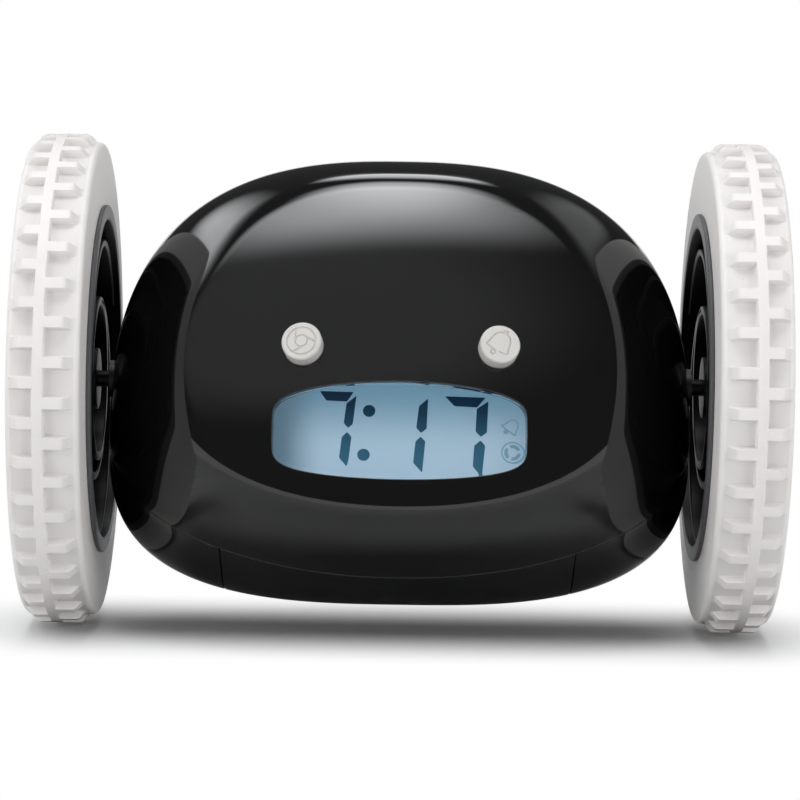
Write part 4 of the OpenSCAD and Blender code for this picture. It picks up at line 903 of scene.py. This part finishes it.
def surfaceLifeGroup():
    # slow change of tone, fine grain and rare specks of dust, all over an object
    group = bpy.data.node_groups.new("surfaceLife", "ShaderNodeTree")
    for way, names in (("INPUT", ("Tone Scale", "Grain Scale", "Speck Scale", "Speck Size")),
                       ("OUTPUT", ("Tone", "Grain", "Specks"))):
        for name in names:
            group.interface.new_socket(name, in_out=way, socket_type="NodeSocketFloat")
    start = addNode(group, "NodeGroupInput")
    place = addNode(group, "ShaderNodeTexCoord")["Object"]

    def noise(scale, detail):
        return addNode(group, "ShaderNodeTexNoise", {
            "Vector": place, "Scale": scale, "Detail": detail})[0]
    cells = addNode(group, "ShaderNodeTexVoronoi", {"Vector": place, "Scale": start["Speck Scale"]})
    close = combine(group, "LESS_THAN", cells["Distance"], start["Speck Size"])
    patches = noise(lifeForm["dustPatches"], lifeForm["detail"])
    seldom = combine(group, "GREATER_THAN", patches, lifeForm["dustBeyond"])
    addNode(group, "NodeGroupOutput", {
        "Tone": noise(start["Tone Scale"], lifeForm["toneDetail"]),
        "Grain": noise(start["Grain Scale"], lifeForm["detail"]),
        "Specks": combine(group, "MULTIPLY", close, seldom)})
    return group


surfaceLife = surfaceLifeGroup()
finishes = {}


def finish(name, colour, second, roughness, roughSpread=0.06, metallic=0.0, toneScale=25,
           grainScale=2500, bump=0.05, speckScale=900, speckSize=0.06, speckColour=None, fixed={}):
    # one finish: two near colours mixed by the slow tone, roughness that follows it, and a
    # fine bump from the grain; dust specks where the finish shows them
    material = bpy.data.materials.new(name)
    material.use_nodes = True
    tree = material.node_tree
    life = addNode(tree, "ShaderNodeGroup", {
        "Tone Scale": toneScale, "Grain Scale": grainScale, "Speck Scale": speckScale,
        "Speck Size": speckSize}, node_tree=surfaceLife)
    base = blendColour(tree, life["Tone"], colour, second)
    if speckColour:
        base = blendColour(tree, life["Specks"], base, speckColour)
    rough = ramp(tree, life["Tone"], 0.0, 1.0, roughness - roughSpread / 2,
                 roughness + roughSpread / 2, "LINEAR")
    inputs = {"Base Color": base, "Roughness": rough, "Metallic": metallic, **fixed}
    if bump:
        inputs["Normal"] = addNode(tree, "ShaderNodeBump", {
            "Strength": bump, "Distance": lifeForm["bumpDepth"], "Height": life["Grain"]})["Normal"]
    feed(tree, tree.nodes["Principled BSDF"], inputs)
    finishes[name] = material
    return tree, tree.nodes["Principled BSDF"]


def recolour(tree, shader, factor, colour):
    # the base colour gives way to another one as the factor goes from 0 to 1
    clean = shader.inputs["Base Color"].links[0].from_socket
    feed(tree, shader, {"Base Color": blendColour(tree, factor, clean, colour)})


def wear(piece, material):
    piece.data.materials.clear()
    piece.data.materials.append(material)


finish("shellGloss", (0.0045, 0.0045, 0.0048), (0.006, 0.006, 0.0065), 0.07, 0.03, bump=0.0,
       speckColour=(0.05, 0.05, 0.05), speckScale=420, speckSize=0.035, fixed={"IOR": 1.6})
finish("buttonWhite", (0.62, 0.605, 0.58), (0.665, 0.65, 0.625), 0.36, 0.08, bump=0.12)
finish("lensClear", (0.93, 0.965, 0.99), (0.95, 0.975, 1.0), 0.02, 0.01, bump=0.0,
       fixed={"Transmission Weight": 1.0, "IOR": 1.2})
finish("signInk", (0.10, 0.19, 0.25), (0.12, 0.21, 0.27), 0.4,
       fixed={"Emission Color": (0.16, 0.32, 0.42, 1), "Emission Strength": 0.5})

# where the painted sheen on the rim's lip starts and is full, and its grey
rimLipSheen = {"start": 0.0293, "full": 0.0297, "colour": (0.10, 0.10, 0.105)}  # metres from the axle


def rimFinish():
    # black, and a painted grey sheen beyond a distance from the axle, on the lip, standing in for
    # the light the lip reflects
    tree, shader = finish("rimBlack", (0.005, 0.005, 0.006), (0.009, 0.009, 0.010), 0.42, 0.1,
                          bump=0.15, speckColour=(0.05, 0.05, 0.05),
                          fixed={"Specular IOR Level": 0.2})
    place = addNode(tree, "ShaderNodeTexCoord")["Object"]
    centred = combineVectors(tree, "SUBTRACT", place, (0, 0, axleHeight * toMetres))
    upright = combineVectors(tree, "MULTIPLY", centred, (0, 1, 1))
    radius = combineVectors(tree, "LENGTH", upright)
    onLipSheen = ramp(tree, radius, rimLipSheen["start"], rimLipSheen["full"], steps="LINEAR")
    recolour(tree, shader, onLipSheen, rimLipSheen["colour"])


# the share and the colour of the painted shade in the tyre's hollows
tyrePocketShade = {"share": 0.35, "colour": (0.66, 0.64, 0.625)}


def tyreFinish():
    # white rubber, with painted shade that darkens the hollows between the lugs
    tree, shader = finish("tyreWhite", (0.84, 0.815, 0.80), (0.88, 0.855, 0.84), 0.5, 0.12,
                          toneScale=45, grainScale=1800, bump=0.25, speckColour=(0.45, 0.43, 0.4),
                          speckScale=500, speckSize=0.05)
    mark = addNode(tree, "ShaderNodeAttribute", attribute_name="hollowShade")["Fac"]
    share = combine(tree, "MULTIPLY", mark, tyrePocketShade["share"])
    recolour(tree, shader, share, tyrePocketShade["colour"])


# the middle of the display, and the width over which painted shade darkens its two ends
displayShadeSpan = {"middle": 0.003, "sideShadeWidth": 0.008}  # metres along the display


def glowWithPaintedShade(made, lowest, highest, low, high, sideShadeStart, side, strength):
    # the display's glow, with painted shade that darkens it with the height above the floor and
    # towards the display's two ends
    tree, shader = made
    place = addNode(tree, "ShaderNodeTexCoord")["Object"]
    split = addNode(tree, "ShaderNodeSeparateXYZ", {"Vector": place})
    shift = combine(tree, "SUBTRACT", split["X"], displayShadeSpan["middle"])
    away = combine(tree, "ABSOLUTE", shift)
    aside = ramp(tree, away, sideShadeStart, sideShadeStart + displayShadeSpan["sideShadeWidth"])
    height = ramp(tree, split["Z"], lowest, highest)
    upright = blendColour(tree, height, low, high)
    feed(tree, shader, {"Emission Color": blendColour(tree, aside, upright, side),
                        "Emission Strength": strength})


rimFinish()
tyreFinish()
# the display's backlight, with painted shade: darker at the top and at the two ends, as if shaded
# by the opening's rim
glowWithPaintedShade(finish("displayBlue", (0.13, 0.205, 0.265), (0.155, 0.24, 0.305), 0.35),
              lowest=0.036, highest=0.0455, low=(0.405, 0.525, 0.62), high=(0.13, 0.245, 0.32),
              sideShadeStart=0.016, side=(0.08, 0.13, 0.16), strength=0.64)
# the digits: painted light and shade, a teal glow lower down that fades to dark at the top,
# standing in for the digits' shadow on the lit display
glowWithPaintedShade(finish("digitInk", (0.001, 0.010, 0.020), (0.002, 0.012, 0.024), 0.4,
                     fixed={"Specular IOR Level": 0.1}),
              lowest=0.0335, highest=0.0455, low=(0.052, 0.175, 0.27), high=(0.002, 0.016, 0.04),
              sideShadeStart=0.05, side=(0.0, 0.01, 0.05), strength=0.6)

# Inner parts: two near colours, roughness and what else differs
metal = {"metallic": 1.0, "grainScale": 900, "bump": 0.1}
innerFinishes = {
    "steel": ((0.52, 0.52, 0.53), (0.60, 0.60, 0.61), 0.28, metal),
    "screwSteel": ((0.30, 0.30, 0.31), (0.40, 0.40, 0.41), 0.35, metal),
    "darkSteel": ((0.02, 0.02, 0.021), (0.035, 0.035, 0.036), 0.32, metal),
    "darkBush": ((0.012, 0.012, 0.012), (0.02, 0.02, 0.02), 0.4, {"bump": 0.1}),
    "brass": ((0.60, 0.43, 0.17), (0.68, 0.50, 0.22), 0.3, {"metallic": 1.0, "bump": 0.08}),
    "gearNylon": ((0.70, 0.69, 0.64), (0.78, 0.77, 0.72), 0.42, {"bump": 0.12}),
    "canZinc": ((0.50, 0.51, 0.52), (0.60, 0.61, 0.62), 0.34,
                {"metallic": 1.0, "grainScale": 700, "bump": 0.12}),
    "caseNylon": ((0.60, 0.60, 0.57), (0.68, 0.68, 0.65), 0.46, {"bump": 0.15}),
    "boardGreen": ((0.012, 0.11, 0.045), (0.018, 0.15, 0.06), 0.38,
                   {"bump": 0.2, "grainScale": 1200}),
    "chipBlack": ((0.012, 0.012, 0.014), (0.02, 0.02, 0.022), 0.5, {"bump": 0.2}),
    "cellWrap": ((0.03, 0.04, 0.06), (0.05, 0.06, 0.09), 0.25, {"metallic": 0.3, "toneScale": 60}),
    "chassisBlack": ((0.02, 0.02, 0.022), (0.035, 0.035, 0.037), 0.5, {"bump": 0.3}),
    "contact": ((0.62, 0.61, 0.58), (0.70, 0.69, 0.66), 0.3, {"metallic": 1.0}),
    "wireRed": ((0.32, 0.015, 0.012), (0.40, 0.025, 0.02), 0.4, {"bump": 0.1}),
    "coneGrey": ((0.03, 0.03, 0.03), (0.05, 0.05, 0.05), 0.7, {"bump": 0.5, "grainScale": 1500}),
    "frameGrey": ((0.12, 0.12, 0.13), (0.17, 0.17, 0.18), 0.45, {"metallic": 0.7}),
    "setBlack": ((0.012, 0.012, 0.014), (0.02, 0.02, 0.022), 0.4, {"bump": 0.3}),
    "lightGuide": ((0.70, 0.78, 0.85), (0.76, 0.84, 0.90), 0.3, {}),
}
for name, (colour, second, roughness, other) in innerFinishes.items():
    finish(name, colour, second, roughness, **other)

# Which finish each piece has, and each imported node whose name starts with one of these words
wornBy = {
    "shellGloss": "shellFront shellRear door front_shell rear_shell battery_door",
    "lensClear": "lens display_window", "displayBlue": "lensSurround display_glass",
    "digitInk": "digits", "signInk": "signs",
    "buttonWhite": "wheelButton alarmButton wheel_button alarm_button",
    "tyreWhite": "tyreRight tyreLeft tyre",
    "rimBlack": "rimRight rimLeft capRight capLeft rim hub_cap",
    "darkSteel": "wheel_shaft", "darkBush": "shaft_bush", "steel": "motor_shaft gear_pins",
    "gearNylon": "output_gear second_gear first_gear", "brass": "motor_pinion",
    "canZinc": "motor_can", "caseNylon": "motor_cap gear_case gear_lid display_frame",
    "screwSteel": "gear_screws shell_screws board_screws", "lightGuide": "backlight",
    "boardGreen": "main_board rear_board", "chipBlack": "board_chips face_switches rear_switches",
    "setBlack": "set_button", "frameGrey": "speaker_frame", "coneGrey": "speaker_cone",
    "chassisBlack": "chassis", "contact": "cell_springs cell_plates", "cellWrap": "cell",
    "wireRed": "lead_wires",
}
finishOf = {word: finishes[name] for name, words in wornBy.items() for word in words.split()}
for name, piece in pieces.items():
    wear(piece, finishOf[name])
for name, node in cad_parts.items():
    wear(node, finishOf[max((word for word in finishOf if name.startswith(word)), key=len)])
print("finishes done:", len(bpy.data.materials))

# lift is the least share of painted white over the floor's shadow, as the camera sees it
stageForm = {"radius": 3.2, "bend": 0.5, "rim": 0.55, "floor": (0.80, 0.80, 0.80), "white": 1.0,
             "lift": 0.06, "halfLength": 0.056, "middle": -0.006, "shadow": (0.002, 0.036),
             "gloss": (0.10, 0.42), "inner": 0.05, "rings": 24, "around": 128}


def backdropPiece():
    # a wide round floor whose edge curves up into a low rim: one line turned about the middle
    bend, flat = np.linspace(0, math.pi / 2, 16)[1:], stageForm["radius"] - stageForm["bend"]
    radius = np.concatenate([[0.0], np.geomspace(stageForm["inner"], flat, stageForm["rings"]),
                             stageForm["radius"] - stageForm["bend"] * (1 - np.sin(bend))])
    height = np.concatenate([np.zeros(stageForm["rings"] + 1),
                             stageForm["rim"] * (1 - np.cos(bend))])
    points = aboutAxle(height[:, None], radius[:, None], fullTurn(stageForm["around"]))
    vertices, faces = sheet(np.roll(points, -1, -1), False, True)  # turned about z instead of x
    drop = smoothObject("backdrop", vertices, faces.tolist())
    return drop


def backdropFinish():
    # pale and lit near the clock, where it keeps the shadow; to the camera, painted light of at
    # least a share lift lies over that shadow and lightens it; plain white further off, for the
    # camera and for what gloss and glass show
    pale = stageForm["floor"]
    tree, shader = finish("backdropPale", pale, tuple(c + 0.02 for c in pale), 0.75, bump=0.0,
                          toneScale=3, fixed={"Specular IOR Level": 0.2})
    path = addNode(tree, "ShaderNodeLightPath")
    place = addNode(tree, "ShaderNodeTexCoord")["Object"]
    split = addNode(tree, "ShaderNodeSeparateXYZ", {"Vector": place})
    # the distance from a line under the clock, along x
    aside = combine(tree, "ABSOLUTE", split["X"])
    beside = combine(tree, "SUBTRACT", aside, stageForm["halfLength"])
    ahead = combine(tree, "SUBTRACT", split["Y"], stageForm["middle"])
    squares = [combine(tree, "MULTIPLY", value, value)
               for value in (combine(tree, "MAXIMUM", beside, 0), ahead)]
    length = combine(tree, "SQRT", combine(tree, "ADD", *squares))
    mirrored = combine(tree, "MAXIMUM", path["Is Glossy Ray"], path["Is Transmission Ray"])
    # to the camera, painted white over the floor's shadow: a share lift under the clock, growing to
    # full white a few centimetres from it
    seen = combine(tree, "MULTIPLY", ramp(tree, length, *stageForm["shadow"], stageForm["lift"]),
                   path["Is Camera Ray"])
    shown = combine(tree, "MULTIPLY", ramp(tree, length, *stageForm["gloss"]), mirrored)
    glow = addNode(tree, "ShaderNodeEmission", {"Strength": stageForm["white"]})[0]
    mixed = addNode(tree, "ShaderNodeMixShader", {
        0: combine(tree, "MAXIMUM", seen, shown), 1: shader.outputs[0], 2: glow})[0]
    feed(tree, tree.nodes["Material Output"], {"Surface": mixed})


backdrop = backdropPiece()
backdropFinish()
wear(backdrop, finishes["backdropPale"])

# The studio round the clock: a dim room, and soft lamps on a ceiling one unit above it. Each is an
# ellipse there: its middle (x to the right, y to the rear), its half sizes, where its soft edge
# starts and ends in half sizes, and its brightness.
roomForm = {"dim": 0.056, "tint": (0.97, 0.985, 1.0), "horizon": 0.02}
lampForm = {
    "top": {"middle": (-0.02, -0.02), "half": (0.20, 0.16), "soft": (0.3, 1.8), "strength": 6.3},
    "topFront": {"middle": (-0.10, -0.20), "half": (0.38, 0.13), "soft": (0.3, 1.75),
                 "strength": 5.2},
    "rear": {"middle": (0.0, 0.88), "half": (0.24, 0.42), "soft": (0.6, 1.3), "strength": 3.8},
    "left": {"middle": (-0.95, 0.80), "half": (0.33, 0.6), "soft": (0.25, 1.65), "strength": 3.1},
    "right": {"middle": (0.82, 0.95), "half": (0.3, 0.7), "soft": (0.5, 1.4), "strength": 0.5},
    "card": {"middle": (-0.35, -0.75), "half": (0.8, 0.5), "soft": (0.6, 1.5), "strength": 0.31},
}


def studioWorld():
    # the room's dim light, and each lamp's over the distance from its middle, in half sizes, at
    # which a direction meets the ceiling
    world = bpy.data.worlds.new("studio")
    world.use_nodes = True
    tree = world.node_tree
    direction = addNode(tree, "ShaderNodeTexCoord")["Generated"]
    rise = addNode(tree, "ShaderNodeSeparateXYZ", {"Vector": direction})["Z"]
    above = combine(tree, "MAXIMUM", rise, roomForm["horizon"])
    inverse = combine(tree, "DIVIDE", 1, above)
    ceiling = addNode(tree, "ShaderNodeVectorMath", {0: direction, "Scale": inverse},
                      operation="SCALE")[0]
    light = roomForm["dim"]
    for form in lampForm.values():
        shifted = combineVectors(tree, "SUBTRACT", ceiling, (*form["middle"], 1))
        scaled = combineVectors(tree, "DIVIDE", shifted, (*form["half"], 1))
        length = combineVectors(tree, "LENGTH", scaled)
        lit = ramp(tree, length, *form["soft"], form["strength"], 0)
        light = combine(tree, "ADD", light, lit)
    feed(tree, tree.nodes["Background"], {"Color": (*roomForm["tint"], 1), "Strength": light})
    return world


bpy.context.scene.world = studioWorld()


def turnTowards(thing, place, aim):
    thing.location = place
    thing.rotation_euler = (Vector(aim) - Vector(place)).to_track_quat("-Z", "Y").to_euler()


fillForm = {"places": ((-1.45, -1.05, 0.45), (1.45, -1.05, 0.45)), "aim": (0, 0, 0.04),
            "size": 1.2, "power": 16.5}
notLit = bpy.data.collections.new("notLitByFill")
notLit.objects.link(backdrop)
notLit.collection_objects[0].light_linking.link_state = "EXCLUDE"
for k, place in enumerate(fillForm["places"]):
    # fills that soften the shade on the clock alone, and that no gloss shows
    fill = newObject("fill%d" % k, bpy.data.lights.new("fill%d" % k, "AREA"))
    turnTowards(fill, place, fillForm["aim"])
    fill.data.size = fillForm["size"]
    fill.data.energy = fillForm["power"]
    fill.visible_glossy = False
    fill.light_linking.receiver_collection = notLit

cameraForm = {"distance": 0.58, "height": 6.0, "roll": 0.9, "aim": (0.0, 0.0, 0.0414),
              "lens": 142.7, "sensor": 36, "nearest": 0.01}
camera = newObject("camera", bpy.data.cameras.new("camera"))
bpy.context.scene.camera = camera
rise = math.radians(cameraForm["height"])
away = cameraForm["distance"] * np.array([0, -math.cos(rise), math.sin(rise)])
turnTowards(camera, tuple(np.array(cameraForm["aim"]) + away), cameraForm["aim"])
camera.data.lens = cameraForm["lens"]
camera.data.sensor_width = cameraForm["sensor"]
camera.data.clip_start = cameraForm["nearest"]
camera.rotation_euler = (camera.rotation_euler.to_quaternion()
                         @ Quaternion((0, 0, 1), math.radians(cameraForm["roll"]))).to_euler()
bpy.context.scene.view_settings.view_transform = "Standard"
print("stage done")
